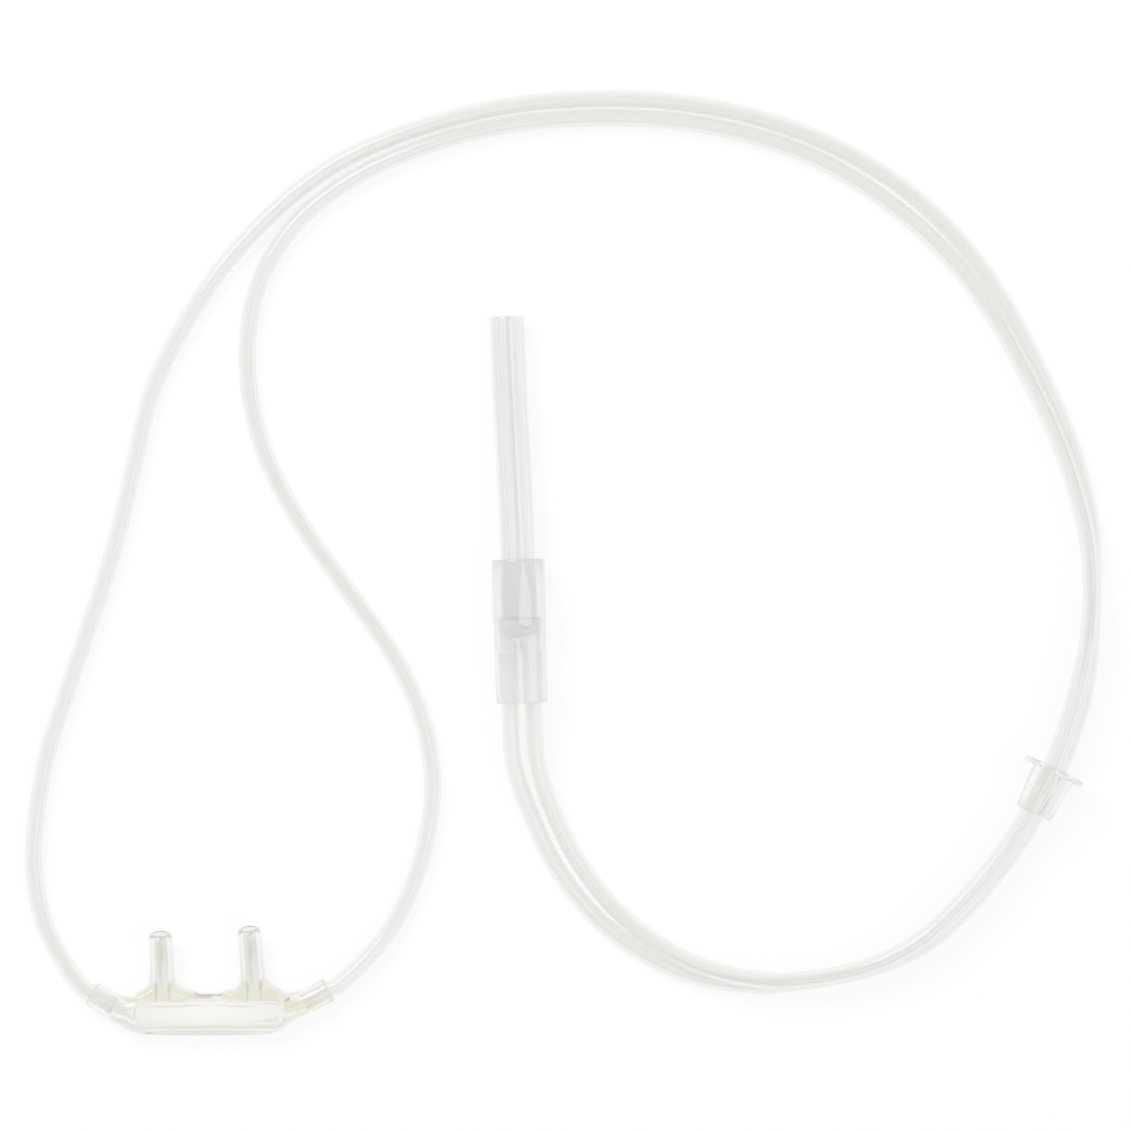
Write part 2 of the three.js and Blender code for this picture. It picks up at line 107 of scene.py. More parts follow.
# Tints that several places share
WHITE = (1.0, 1.0, 1.0, 1.0)
JOINT_TINT = (0.97, 0.97, 0.95)
YELLOWED = (0.68, 0.70, 0.24)
ROOT_TINT = (0.97, 0.96, 0.80)
# Painted shade: the dark hollow between the prongs
SHADED = (0.26, 0.26, 0.19)
# Painted shade for the dark lines and recesses in the Y connector
PAINTED_SHADE_LINE = (0.38, 0.37, 0.35)


class Side(Enum):
    """Which head tube: the left one is the pair's outer tube, the right one its inner tube."""

    LEFT = 1
    RIGHT = -1


class Marks(Enum):
    """How a clear PVC surface was made, which sets the marks on it."""

    DRAWN = "lengthwise die lines"
    MOULDED = "soft flow marks"


def eased(value: float, low: float, high: float) -> float:
    """Eases from 0 where value is low to 1 where it is high."""
    place = min(max((value - low) / (high - low), 0.0), 1.0)
    return place * place * (3 - 2 * place)


@dataclass(frozen=True)
class Route:
    """A smooth line through chosen points, in metres."""

    points: tuple[Vector, ...]

    @classmethod
    def through(cls, points: Sequence[Sequence[float]]) -> "Route":
        """Makes a route from plain triples."""
        return cls(tuple(Vector(point) for point in points))

    def _span(self, place: float) -> tuple[list[Vector], float]:
        """Finds the chosen points round a place.

        Args:
            place: from 0 to 1 along the route.

        Returns:
            Four points, and how far the place is between the middle two.
        """
        last = len(self.points) - 1
        scaled = min(max(place, 0.0), 1.0) * last
        index = min(int(scaled), last - 1)
        before = self.points[index - 1] if index > 0 else 2 * self.points[0] - self.points[1]
        after = self.points[index + 2] if index + 2 <= last else (
            2 * self.points[last] - self.points[last - 1])
        return [before, self.points[index], self.points[index + 1], after], scaled - index

    def at(self, place: float) -> Vector:
        """The point at a place from 0 to 1, with the chosen points evenly spread."""
        (a, b, c, d), t = self._span(place)
        return 0.5 * (2 * b + (c - a) * t + (2 * a - 5 * b + 4 * c - d) * t ** 2
                      + (3 * b - a - 3 * c + d) * t ** 3)

    def tangent(self, place: float) -> Vector:
        """Finds the direction at a place.

        Args:
            place: from 0 to 1 along the route.

        Returns:
            The direction, of length 1.
        """
        (a, b, c, d), t = self._span(place)
        slope = (c - a) + 2 * (2 * a - 5 * b + 4 * c - d) * t + 3 * (3 * b - a - 3 * c + d) * t ** 2
        return slope.normalized()

    def spaced(self, step: float) -> list[Vector]:
        """Points along the whole route, evenly apart.

        Args:
            step: the distance wanted between points, in metres.

        Returns:
            The points, from one end of the route to the other.
        """
        pieces = len(self.points) * MEASURING_STEPS
        fine = [self.at(index / pieces) for index in range(pieces + 1)]
        travelled = [0.0]
        for start, end in zip(fine, fine[1:]):
            travelled.append(travelled[-1] + (end - start).length)
        count = max(2, round(travelled[-1] / step))
        found, index = [], 0
        for number in range(count + 1):
            wanted = travelled[-1] * number / count
            while index < len(fine) - 2 and travelled[index + 1] < wanted:
                index += 1
            share = (wanted - travelled[index]) / (travelled[index + 1] - travelled[index])
            found.append(fine[index].lerp(fine[index + 1], share))
        return found


def rested(points: Sequence[Vector], outer: float) -> list[Vector]:
    """Lifts a hose's points where the smooth line would sink into the floor."""
    return [Vector((point.x, point.y, max(point.z, outer / 2))) for point in points]


@dataclass(frozen=True)
class Ring:
    """One section of a lofted body: an oval with round ends.

    Attributes:
        middle: the section's middle.
        across: the direction of the oval's long side.
        up: the other direction in the section.
        radius: the radius of its round ends.
        stretch: half the straight length between them.
    """

    middle: Vector
    across: Vector
    up: Vector
    radius: float
    stretch: float = 0.0

    def point(self, turn: float) -> Vector:
        """Finds a point on the oval.

        Args:
            turn: its angle round the middle, in radians.

        Returns:
            The point.
        """
        side = math.copysign(self.stretch, math.cos(turn))
        sideways = self.across * (math.cos(turn) * self.radius + side)
        return self.middle + sideways + self.up * (math.sin(turn) * self.radius)


def rings_along(path: Route, size: Callable[[float], tuple[float, float]], count: int) -> list[Ring]:
    """Sections square to a route.

    Args:
        path: the route of their middles.
        size: gives radius and stretch at a place from 0 to 1.
        count: how many steps the route is cut into.

    Returns:
        The rings, in order.
    """
    rings = []
    for index in range(count + 1):
        place = index / count
        along = path.tangent(place)
        across = UP.cross(along).normalized()
        rings.append(Ring(path.at(place), across, along.cross(across), *size(place)))
    return rings


def straight_rings(
        start: Vector, along: Vector, across: Vector, rows: Sequence[Row]) -> list[Ring]:
    """Sections along a straight axis.

    Args:
        start: where distances are counted from.
        along: the axis.
        across: the direction of the ovals' long side.
        rows: the distance, radius and stretch of each section.

    Returns:
        The rings, in order.
    """
    up = along.cross(across).normalized()
    return [Ring(start + along * distance, up.cross(along), up, radius, stretch)
            for distance, radius, stretch in rows]


def rounded_rows(rows: Sequence[Row], rim: float, steps: int = 4) -> list[Row]:
    """Rounds both ends of a straight body.

    Args:
        rows: the distance, radius and stretch of each section.
        rim: the radius of the rounding.
        steps: how many sections each rounding has.

    Returns:
        The rows with the roundings in place of both ends.
    """
    first, last = rows[0], rows[-1]
    turns = [math.pi / 2 * index / steps for index in range(steps)]
    start = [(first[0] + rim * (1 - math.sin(turn)), first[1] - rim * (1 - math.cos(turn)), first[2])
             for turn in reversed(turns)]
    end = [(last[0] - rim * (1 - math.sin(turn)), last[1] - rim * (1 - math.cos(turn)), last[2])
           for turn in turns]
    tip_start = (first[0], first[1] - rim, first[2])
    tip_end = (last[0], last[1] - rim, last[2])
    return [tip_start, *start, *rows[1:-1], *end, tip_end]


def socket_rows(
        radius: float, depth: float, opening: float, slope: float, stretch: float = 0.0) -> list[Row]:
    """Sections of a cutter for a socket that is a little wider at its mouth.

    Args:
        radius: the socket's radius.
        depth: how deep it goes.
        opening: how much wider its mouth is.
        slope: how far in it gets narrower.
        stretch: half the straight length of its sides.

    Returns:
        The distance from the mouth, the radius and the stretch of each section.
    """
    return [(-OVERRUN, radius + opening, stretch), (0.0, radius + opening, stretch),
            (slope, radius, stretch), (depth, radius, stretch)]


def placed(name: str, shape: bmesh.types.BMesh) -> bpy.types.Object:
    """Turns a bmesh into an object at the origin, and frees it.

    Args:
        name: the object's name.
        shape: its points and faces, which are used up.

    Returns:
        The new object.
    """
    mesh = bpy.data.meshes.new(name)
    shape.to_mesh(mesh)
    shape.free()
    piece = bpy.data.objects.new(name, mesh)
    bpy.context.scene.collection.objects.link(piece)
    return piece


def lofted(name: str, rings: Sequence[Ring], sides: int) -> bpy.types.Object:
    """Makes a closed skin over a row of rings.

    Args:
        name: the object's name.
        rings: the sections, in order.
        sides: how many points each section has.

    Returns:
        The closed object, its faces pointing out.
    """
    skin = bmesh.new()
    turns = [2 * math.pi * (index + 0.5) / sides for index in range(sides)]
    rows = [[skin.verts.new(ring.point(turn)) for turn in turns] for ring in rings]
    for lower, upper in zip(rows, rows[1:]):
        for index in range(sides):
            after = (index + 1) % sides
            skin.faces.new((lower[index], lower[after], upper[after], upper[index]))
    skin.faces.new(list(reversed(rows[0])))
    skin.faces.new(rows[-1])
    bmesh.ops.recalc_face_normals(skin, faces=skin.faces)
    return placed(name, skin)


def settled(piece: bpy.types.Object) -> bpy.types.Object:
    """Applies a piece's modifiers to its mesh.

    Args:
        piece: the object with the modifiers.

    Returns:
        The same object, with none.
    """
    seen = piece.evaluated_get(bpy.context.evaluated_depsgraph_get())
    mesh = bpy.data.meshes.new_from_object(seen)
    piece.modifiers.clear()
    old = piece.data
    piece.data = mesh
    bpy.data.meshes.remove(old)
    return piece


def removed(piece: bpy.types.Object) -> None:
    """Deletes a helper object and its data.

    Args:
        piece: a mesh or curve object that is done with.
    """
    data = piece.data
    bpy.data.objects.remove(piece)
    if isinstance(data, bpy.types.Mesh):
        bpy.data.meshes.remove(data)
    else:
        bpy.data.curves.remove(data)


def combined(
        piece: bpy.types.Object, helpers: Sequence[bpy.types.Object],
        operation: str) -> bpy.types.Object:
    """Joins or cuts a piece with helpers.

    Args:
        piece: the object that is changed.
        helpers: the closed objects that are joined on or cut out, which are used up.
        operation: UNION or DIFFERENCE.

    Returns:
        The changed piece.
    """
    for helper in helpers:
        boolean = piece.modifiers.new(operation.lower(), "BOOLEAN")
        boolean.operation = operation
        boolean.solver = "EXACT"
        boolean.object = helper
        settled(piece)
        removed(helper)
    return piece


def smooth_shaded(piece: bpy.types.Object, crease: float = 35.0) -> bpy.types.Object:
    """Merges points closer than WELD and shades a piece smooth.

    Args:
        piece: the finished piece.
        crease: edges steeper than this many degrees stay sharp.

    Returns:
        The same piece.
    """
    shape = bmesh.new()
    shape.from_mesh(piece.data)
    bmesh.ops.remove_doubles(shape, verts=shape.verts, dist=WELD)
    bmesh.ops.dissolve_degenerate(shape, edges=shape.edges, dist=WELD)
    shape.to_mesh(piece.data)
    shape.free()
    piece.data.shade_smooth()
    piece.data.set_sharp_from_angle(angle=math.radians(crease))
    return piece


class Term:
    """A node's output that takes part in Python arithmetic."""

    def __init__(self, kit: "NodeKit", socket: Socket) -> None:
        self.kit = kit
        self.socket = socket

    def math(self, operation: str, *others: "Term | float", first: Any = None) -> "Term":
        """Adds a Math node.

        Args:
            operation: the Math node's operation.
            others: its second and third values.
            first: a value that goes before this one, for reflected operators.

        Returns:
            The node's result.
        """
        values = [self, *others] if first is None else [first, self, *others]
        node = self.kit.add("ShaderNodeMath", {"operation": operation}, dict(enumerate(values)))
        return Term(self.kit, node.outputs[0])

    def __add__(self, other: "Term | float") -> "Term":
        """Adds."""
        return self.math("ADD", other)

    __radd__ = __add__

    def __sub__(self, other: "Term | float") -> "Term":
        """Subtracts other."""
        return self.math("SUBTRACT", other)

    def __rsub__(self, other: float) -> "Term":
        """Subtracts from other."""
        return self.math("SUBTRACT", first=other)

    def __mul__(self, other: "Term | float") -> "Term":
        """Multiplies."""
        return self.math("MULTIPLY", other)

    __rmul__ = __mul__

    def __pow__(self, other: "Term | float") -> "Term":
        """Raises to a power."""
        return self.math("POWER", other)

    def cosine(self) -> "Term":
        """The cosine of radians."""
        return self.math("COSINE")

    def at_least(self, low: "Term | float") -> "Term":
        """The larger of this and low."""
        return self.math("MAXIMUM", low)

    def at_most(self, high: "Term | float") -> "Term":
        """The smaller of this and high."""
        return self.math("MINIMUM", high)

    def hill(self, middle: float, width: float) -> "Term":
        """A smooth hill, 1 at middle and 0 past width on both sides."""
        away = (self - middle) * (1 / width)
        return (1 - away * away).at_least(0.0) ** 2.0


class NodeKit:
    """Adds nodes to one tree."""

    def __init__(self, tree: bpy.types.NodeTree) -> None:
        """Takes the tree that the nodes go into."""
        self.tree = tree

    def add(
            self, kind: str, settings: dict[str, Any] | None = None,
            inputs: dict[str | int, Any] | None = None) -> bpy.types.Node:
        """Adds a node.

        Args:
            kind: the node's type.
            settings: its own properties, set before its sockets are.
            inputs: values, Terms or sockets, by the socket's name or place.

        Returns:
            The new node.
        """
        node = self.tree.nodes.new(kind)
        for name, value in (settings or {}).items():
            setattr(node, name, value)
        for key, value in (inputs or {}).items():
            target = node.inputs[key]
            source = value.socket if isinstance(value, Term) else value
            if isinstance(source, Socket):
                self.tree.links.new(source, target)
            else:
                target.default_value = source
        return node

    def term(self, node: bpy.types.Node, output: str | int = 0) -> Term:
        """Wraps one output of a node."""
        return Term(self, node.outputs[output])

    def mixed(self, share: Term, first: Socket | Colour, second: Socket | Colour) -> Socket:
        """Mixes two colours with a Mix node.

        Args:
            share: how much of the second colour there is, from 0 to 1.
            first: a colour or a colour socket.
            second: a colour or a colour socket.

        Returns:
            The mixed colour.
        """
        ends = [(*colour, 1.0) if isinstance(colour, tuple) else colour for colour in (first, second)]
        return self.add(
            "ShaderNodeMix", {"data_type": "RGBA"}, {0: share, 6: ends[0], 7: ends[1]}).outputs[2]

    def scaled(self, vector: Socket, factor: float | Term) -> Socket:
        """Multiplies a vector by a factor with a Vector Math node."""
        return self.add(
            "ShaderNodeVectorMath", {"operation": "SCALE"}, {0: vector, 3: factor}).outputs[0]


@dataclass(frozen=True)
class TintAndPaintedLightPlace:
    """An oval place with another colour: a tint of its own, or painted light or shade.

    Attributes:
        middle: its middle, x and y, in metres.
        reach: how far it goes each way, in x and in y.
        colour: the colour at its middle.
    """

    middle: tuple[float, float]
    reach: tuple[float, float]
    colour: Colour


@dataclass(frozen=True)
class ClearPvc:
    """A clear soft PVC finish.

    Attributes:
        name: the material's name.
        tint: the surface colour.
        haze: the colour of its cloudier streaks.
        depth: the colour that thick places take.
        absorption: how strongly they take it, per metre.
        roughness: the smoothest roughness.
        transmission: how much light goes through.
        marks: how the surface was made.
        relief: the height of its marks, in metres.
        places: where it takes another colour.
        bonded: the lengths at a hose's two ends where the bonded joint makes it clearer.
    """

    name: str
    tint: Colour
    haze: Colour
    depth: Colour
    absorption: float
    roughness: float
    transmission: float
    marks: Marks
    relief: float
    places: tuple[TintAndPaintedLightPlace, ...] = ()
    bonded: tuple[float, float] = (0.0, 0.0)

    def _with_places(self, kit: NodeKit, colour: Socket) -> Socket:
        """Mixes the colour of each place over a colour.

        Args:
            kit: adds the nodes.
            colour: the colour that the places lie on.

        Returns:
            The mixed colour.
        """
        held = kit.add("ShaderNodeTexCoord").outputs["Object"]
        parts = kit.add("ShaderNodeSeparateXYZ", None, {0: held})
        x, y = kit.term(parts, "X"), kit.term(parts, "Y")
        for place in self.places:
            shown = x.hill(place.middle[0], place.reach[0]) * y.hill(place.middle[1], place.reach[1])
            colour = kit.mixed(shown, colour, place.colour)
        return colour

    def _with_joints(self, kit: NodeKit, colour: Socket) -> Socket:
        """Makes a hose clearer over the bonded length at each end.

        Args:
            kit: adds the nodes.
            colour: the hose's own colour.

        Returns:
            The mixed colour.
        """
        for name, reach in zip(("along", "remaining"), self.bonded):
            away = kit.term(kit.add("ShaderNodeAttribute", {"attribute_name": name}), "Fac")
            shown = ((reach - away) * (1 / END_GAP)).at_least(0.0).at_most(1.0)
            colour = kit.mixed(shown, colour, JOINT_TINT)
        return colour

    def _place(self, kit: NodeKit) -> Socket:
        """Finds the coordinates that the marks follow.

        Args:
            kit: adds the nodes.

        Returns:
            Object coordinates for a moulding, and places round and along a hose.
        """
        if self.marks is Marks.MOULDED:
            return kit.scaled(kit.add("ShaderNodeTexCoord").outputs["Object"], FLOW_MARKS)
        section = kit.add("ShaderNodeAttribute", {"attribute_name": "section"}).outputs["Vector"]
        along = kit.term(kit.add("ShaderNodeAttribute", {"attribute_name": "along"}), "Fac")
        lengthwise = kit.add("ShaderNodeCombineXYZ", None, {2: along * DIE_LINES_ALONG}).outputs[0]
        round_it = kit.scaled(section, DIE_LINES_ROUND)
        return kit.add("ShaderNodeVectorMath", None, {0: round_it, 1: lengthwise}).outputs[0]

    @staticmethod
    def _noise(kit: NodeKit, place: Socket, scale: float, detail: float, roughness: float) -> Term:
        """A noise pattern from 0 to 1 at a place."""
        return kit.term(kit.add("ShaderNodeTexNoise", None, {
            "Vector": place, "Scale": scale, "Detail": detail, "Roughness": roughness}), "Fac")

    def material(self) -> bpy.types.Material:
        """Builds the material's nodes.

        Returns:
            The finished material.
        """
        material = bpy.data.materials.new(self.name)
        material.use_nodes = True
        tree = material.node_tree
        tree.nodes.clear()
        kit = NodeKit(tree)
        place = self._place(kit)
        streaks = self._noise(kit, place, scale=1.0, detail=3.0, roughness=0.55)
        grain = self._noise(kit, place, scale=5.0, detail=2.0, roughness=0.6)
        colour = kit.mixed((streaks - HAZE_START) * HAZE_GAIN, self.tint, self.haze)
        colour = self._with_places(kit, colour)
        if self.marks is Marks.DRAWN:
            colour = self._with_joints(kit, colour)
        bump = kit.add(
            "ShaderNodeBump", None,
            {"Strength": 1.0, "Distance": self.relief, "Height": streaks + grain * GRAIN_HEIGHT})
        surface = kit.add("ShaderNodeBsdfPrincipled", None, {
            "Base Color": colour,
            "Roughness": self.roughness + streaks * STREAK_ROUGHNESS,
            "IOR": PVC_REFRACTION,
            "Transmission Weight": self.transmission,
            "Normal": bump.outputs[0],
        })
        inside = kit.add("ShaderNodeVolumeAbsorption", None, {
            "Color": (*self.depth, 1.0), "Density": self.absorption})
        kit.add("ShaderNodeOutputMaterial", None, {
            "Surface": surface.outputs[0], "Volume": inside.outputs[0]})
        return material


@dataclass(frozen=True)
class PaleFloor:
    """The plain pale floor, which glows so that it stays white round the clear pieces."""

    colour: Colour = (0.93, 0.93, 0.93)
    roughness: float = 0.9
    specular: float = 0.1
    glow: float = 5.5

    def material(self) -> bpy.types.Material:
        """Builds the material's nodes.

        Returns:
            The finished material.
        """
        material = bpy.data.materials.new("pale_floor")
        material.use_nodes = True
        material.node_tree.nodes.clear()
        kit = NodeKit(material.node_tree)
        surface = kit.add("ShaderNodeBsdfPrincipled", None, {
            "Base Color": (*self.colour, 1.0),
            "Roughness": self.roughness,
            "Specular IOR Level": self.specular,
            "Emission Color": WHITE,
            "Emission Strength": self.glow,
        })
        kit.add("ShaderNodeOutputMaterial", None, {"Surface": surface.outputs[0]})
        return material


@dataclass(frozen=True)
class Softbox:
    """A square area light.

    Attributes:
        name: its name.
        place: where it hangs.
        size: the length of its sides.
        power: its power in watts.
    """

    name: str
    place: Point
    size: float
    power: float


@dataclass(frozen=True)
class Studio:
    """The camera straight above, the floor, two softboxes and the pale surroundings.

    Attributes:
        scale: metres to one pixel at the object's height.
        image_size: the picture's width in pixels.
        aim: the point on the floor that the camera looks at.
        lens: the focal length in millimetres.
        sensor: the sensor's width in millimetres.
        clip_end: how far the camera sees, in metres.
        focus_height: the height over the floor at which the scale holds.
        softboxes: the key light from the upper left and the fill light from the lower right.
        surroundings: the strength of the light from all round.
        floor_reach: how far the floor goes each way, in metres.
    """

    scale: float = 0.000177
    image_size: int = 1130
    aim: tuple[float, float] = (0.0627, 0.0793)
    lens: float = 150.0
    sensor: float = 36.0
    clip_end: float = 20.0
    focus_height: float = 0.0025
    softboxes: tuple[Softbox, ...] = (
        Softbox("key_light", (-0.45, 0.75, 0.9), size=0.5, power=150.0),
        Softbox("fill_light", (0.7, -0.3, 1.3), size=1.2, power=125.0),
    )
    surroundings: float = 1.3
    floor_reach: float = 1.5

    def camera(self) -> None:
        """Places the camera so that the photograph's frame is filled at the object's height."""
        width = self.scale * self.image_size
        data = bpy.data.cameras.new("camera")
        data.lens = self.lens
        data.sensor_width = self.sensor
        data.clip_end = self.clip_end
        camera = bpy.data.objects.new("camera", data)
        camera.location = (*self.aim, self.focus_height + width * self.lens / self.sensor)
        bpy.context.scene.collection.objects.link(camera)
        bpy.context.scene.camera = camera

    def lights(self) -> None:
        """Hangs the softboxes, turned to the camera's aim, and sets the surroundings."""
        for box in self.softboxes:
            data = bpy.data.lights.new(box.name, "AREA")
            data.size = box.size
            data.energy = box.power
            lamp = bpy.data.objects.new(box.name, data)
            lamp.location = box.place
            towards = Vector((*self.aim, 0.0)) - Vector(box.place)
            lamp.rotation_euler = towards.to_track_quat("-Z", "Y").to_euler()
            bpy.context.scene.collection.objects.link(lamp)
        world = bpy.data.worlds.new("surroundings")
        world.use_nodes = True
        light = world.node_tree.nodes["Background"].inputs
        light["Color"].default_value = WHITE
        light["Strength"].default_value = self.surroundings
        bpy.context.scene.world = world

    def floor(self) -> None:
        """Lays the floor under the object, at height 0."""
        shape = bmesh.new()
        bmesh.ops.create_grid(shape, x_segments=1, y_segments=1, size=self.floor_reach)
        floor = placed("floor", shape)
        floor.data.materials.append(PaleFloor().material())


class HoseSweep:
    """Geometry Nodes that sweep a hose's outer and inner walls along a path curve.

    The inner wall may have lengthwise ridges, which keep the bore open where the hose is bent.
    """

    SIZES = ("Outer Radius", "Bore Radius", "Ridge Share", "Ridge Count", "Ridge Turn",
             "Ridge Sharpness", "Points Round")
    NO_RIDGES = (0.0, 0.0, 0.0, 1.0)

    def __init__(self) -> None:
        """Builds the tree once; every hose uses it with its own sizes."""
        self.tree = bpy.data.node_groups.new("hose_sweep", "GeometryNodeTree")
        face = self.tree.interface
        face.new_socket("Path", in_out="INPUT", socket_type="NodeSocketGeometry")
        for name in self.SIZES[:-1]:
            face.new_socket(name, in_out="INPUT", socket_type="NodeSocketFloat")
        face.new_socket(self.SIZES[-1], in_out="INPUT", socket_type="NodeSocketInt")
        face.new_socket("Finish", in_out="INPUT", socket_type="NodeSocketMaterial")
        face.new_socket("Walls", in_out="OUTPUT", socket_type="NodeSocketGeometry")
        kit = NodeKit(self.tree)
        given = kit.add("NodeGroupInput").outputs
        path = self._marked_path(kit, given["Path"])
        outer = self._wall(kit, path, given["Outer Radius"], given["Points Round"], None)
        position = kit.add("GeometryNodeInputPosition").outputs[0]
        parts = kit.add("ShaderNodeSeparateXYZ", None, {0: position})
        angle = kit.term(parts, "Y").math("ARCTAN2", kit.term(parts, "X"))
        turned = angle - Term(kit, given["Ridge Turn"])
        wave = (turned * Term(kit, given["Ridge Count"])).cosine().at_least(0.0)
        ridge = wave ** Term(kit, given["Ridge Sharpness"]) * Term(kit, given["Ridge Share"])
        pulled = kit.scaled(position, 1 - ridge)
        inner = self._wall(kit, path, given["Bore Radius"], given["Points Round"], pulled)
        flipped = kit.add("GeometryNodeFlipFaces", None, {0: inner}).outputs[0]
        joined = kit.add("GeometryNodeJoinGeometry")
        self.tree.links.new(flipped, joined.inputs[0])
        self.tree.links.new(outer, joined.inputs[0])
        real = kit.add("GeometryNodeRealizeInstances", None, {0: joined.outputs[0]}).outputs[0]
        dressed = kit.add(
            "GeometryNodeSetMaterial", None, {"Geometry": real, "Material": given["Finish"]})
        kit.add("NodeGroupOutput", None, {0: dressed.outputs[0]})

    @staticmethod
    def _marked_path(kit: NodeKit, path: Socket) -> Socket:
        """Stores how far each point is from the path's start and from its end, in metres.

        Args:
            kit: adds the nodes.
            path: the path curve.

        Returns:
            The marked path, with its sections kept upright.
        """
        travelled = kit.term(kit.add("GeometryNodeSplineParameter"), "Length")
        whole = kit.term(kit.add("GeometryNodeCurveLength", None, {0: path}))
        marked = kit.add("GeometryNodeSetCurveNormal", {"mode": "Z_UP"}, {0: path}).outputs[0]
        for name, distance in (("along", travelled), ("remaining", whole - travelled)):
            marked = kit.add(
                "GeometryNodeStoreNamedAttribute", {"data_type": "FLOAT", "domain": "POINT"},
                {"Geometry": marked, "Name": name, "Value": distance}).outputs[0]
        return marked

    @staticmethod
    def _wall(
            kit: NodeKit, path: Socket, radius: Socket, points: Socket,
            pulled: Socket | None) -> Socket:
        """Sweeps one wall.

        Args:
            kit: adds the nodes.
            path: the marked path curve.
            radius: the wall's radius.
            points: the number of points round it.
            pulled: the moved positions of a ridged wall, or None for a plain one.

        Returns:
            The open wall, with each point's place round the section stored on it.
        """
        ring = kit.add(
            "GeometryNodeCurvePrimitiveCircle", {"mode": "RADIUS"},
            {"Resolution": points, "Radius": radius}).outputs[0]
        here = kit.add("GeometryNodeInputPosition").outputs[0]
        unit = kit.add("ShaderNodeVectorMath", {"operation": "NORMALIZE"}, {0: here}).outputs[0]
        ring = kit.add(
            "GeometryNodeStoreNamedAttribute", {"data_type": "FLOAT_VECTOR", "domain": "POINT"},
            {"Geometry": ring, "Name": "section", "Value": unit}).outputs[0]
        if pulled is not None:
            ring = kit.add(
                "GeometryNodeSetPosition", None, {"Geometry": ring, "Position": pulled}).outputs[0]
        return kit.add(
            "GeometryNodeCurveToMesh", None, {"Curve": path, "Profile Curve": ring}).outputs[0]

    def hose(
            self, name: str, path: Sequence[Vector], sizes: Sequence[float],
            finish: bpy.types.Material, rim: float) -> bpy.types.Object:
        """Sweeps one hose, closes its ends and gives it its finish.

        Args:
            name: the piece's name.
            path: the points that it follows.
            sizes: one value for each of SIZES.
            finish: its material.
            rim: how much its cut edges are rounded, in metres.

        Returns:
            The closed hose.
        """
        line = bpy.data.curves.new(f"{name}_line", "CURVE")
        line.dimensions = "3D"
        spline = line.splines.new("POLY")
        spline.points.add(len(path) - 1)
        for knot, point in zip(spline.points, path):
            knot.co = (*point, 1.0)
        carrier = bpy.data.objects.new(f"{name}_line", line)
        bpy.context.scene.collection.objects.link(carrier)
        sweep = carrier.modifiers.new("sweep", "NODES")
        sweep.node_group = self.tree
        sockets = {item.name: item.identifier for item in self.tree.interface.items_tree}
        for label, value in zip(self.SIZES, sizes):
            sweep[sockets[label]] = value
        sweep[sockets["Finish"]] = finish
        seen = carrier.evaluated_get(bpy.context.evaluated_depsgraph_get())
        mesh = bpy.data.meshes.new_from_object(seen)
        mesh.name = name
        carrier.modifiers.clear()
        removed(carrier)
        self._close(mesh, rim)
        mesh.materials.clear()
        mesh.materials.append(finish)
        piece = bpy.data.objects.new(name, mesh)
        bpy.context.scene.collection.objects.link(piece)
        return smooth_shaded(piece)

    @staticmethod
    def _close(mesh: bpy.types.Mesh, rim: float) -> None:
        """Joins the two walls at both ends with a rounded rim.

        Args:
            mesh: the two open walls, which are changed.
            rim: how much the edges are rounded, in metres.
        """
        shape = bmesh.new()
        shape.from_mesh(mesh)
        edges = [edge for edge in shape.edges if edge.is_boundary]
        middle = sum((edge.verts[0].co for edge in edges), Vector()) / len(edges)
        split = (edges[0].verts[0].co - middle).normalized()
        ends = ([], [])
        for edge in edges:
            ends[(edge.verts[0].co - middle).dot(split) > 0].append(edge)
        rims = []
        for end in ends:
            rims += bmesh.ops.bridge_loops(shape, edges=end)["faces"]
        sharp = {edge for face in rims for edge in face.edges if len(edge.link_faces) == 2
                 and not all(face in rims for face in edge.link_faces)}
        bmesh.ops.bevel(
            shape, geom=list(sharp), offset=rim, segments=2, profile=0.5, affect="EDGES")
        bmesh.ops.recalc_face_normals(shape, faces=shape.faces)
        shape.to_mesh(mesh)
        shape.free()


def stood_for(piece: bpy.types.Object, body: str, node: str) -> None:
    """Makes a finished piece move with a body and stand for a node.

    Args:
        piece: the finished piece.
        body: the body that it moves with.
        node: the node that it replaces.
    """
    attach(piece, body)
    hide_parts(node)
    LOG.info("%s stands for %s, with %d faces", piece.name, node, len(piece.data.polygons))


def connector_point(x: float, y: float) -> Vector:
    """Takes a point on the Y connector's axis plane to the model's frame.

    Args:
        x: how far it is to the connector's right side.
        y: how far it is from the branch mouths towards the supply tube.

    Returns:
        The point, at the height of the connector's axis.
    """
    turn = math.radians(CONNECTOR_LEAN)
    return Vector((
        CONNECTOR_FOOT[0] + x * math.cos(turn) - y * math.sin(turn),
        CONNECTOR_FOOT[1] + x * math.sin(turn) + y * math.cos(turn),
        CONNECTOR_OUTER / 2))


def connector_axis() -> Vector:
    """The Y connector's long direction, towards the supply tube."""
    turn = math.radians(CONNECTOR_LEAN)
    return Vector((-math.sin(turn), math.cos(turn), 0.0))


def arc_station(angle: float, lean: float, lift: float) -> Station:
    """Makes a station of the tube pair on the slider's circle arc.

    Args:
        angle: its place on the arc, in degrees.
        lean: how far one tube leans over the other, in degrees.
        lift: how far the lower tube is over the floor.

    Returns:
        The station, with no extra room between the tubes.
    """
    x = ARC_CENTRE[0] + ARC_RADIUS * math.cos(math.radians(angle))
    y = ARC_CENTRE[1] + ARC_RADIUS * math.sin(math.radians(angle))
    return (x, y, lean, lift, 0.0)


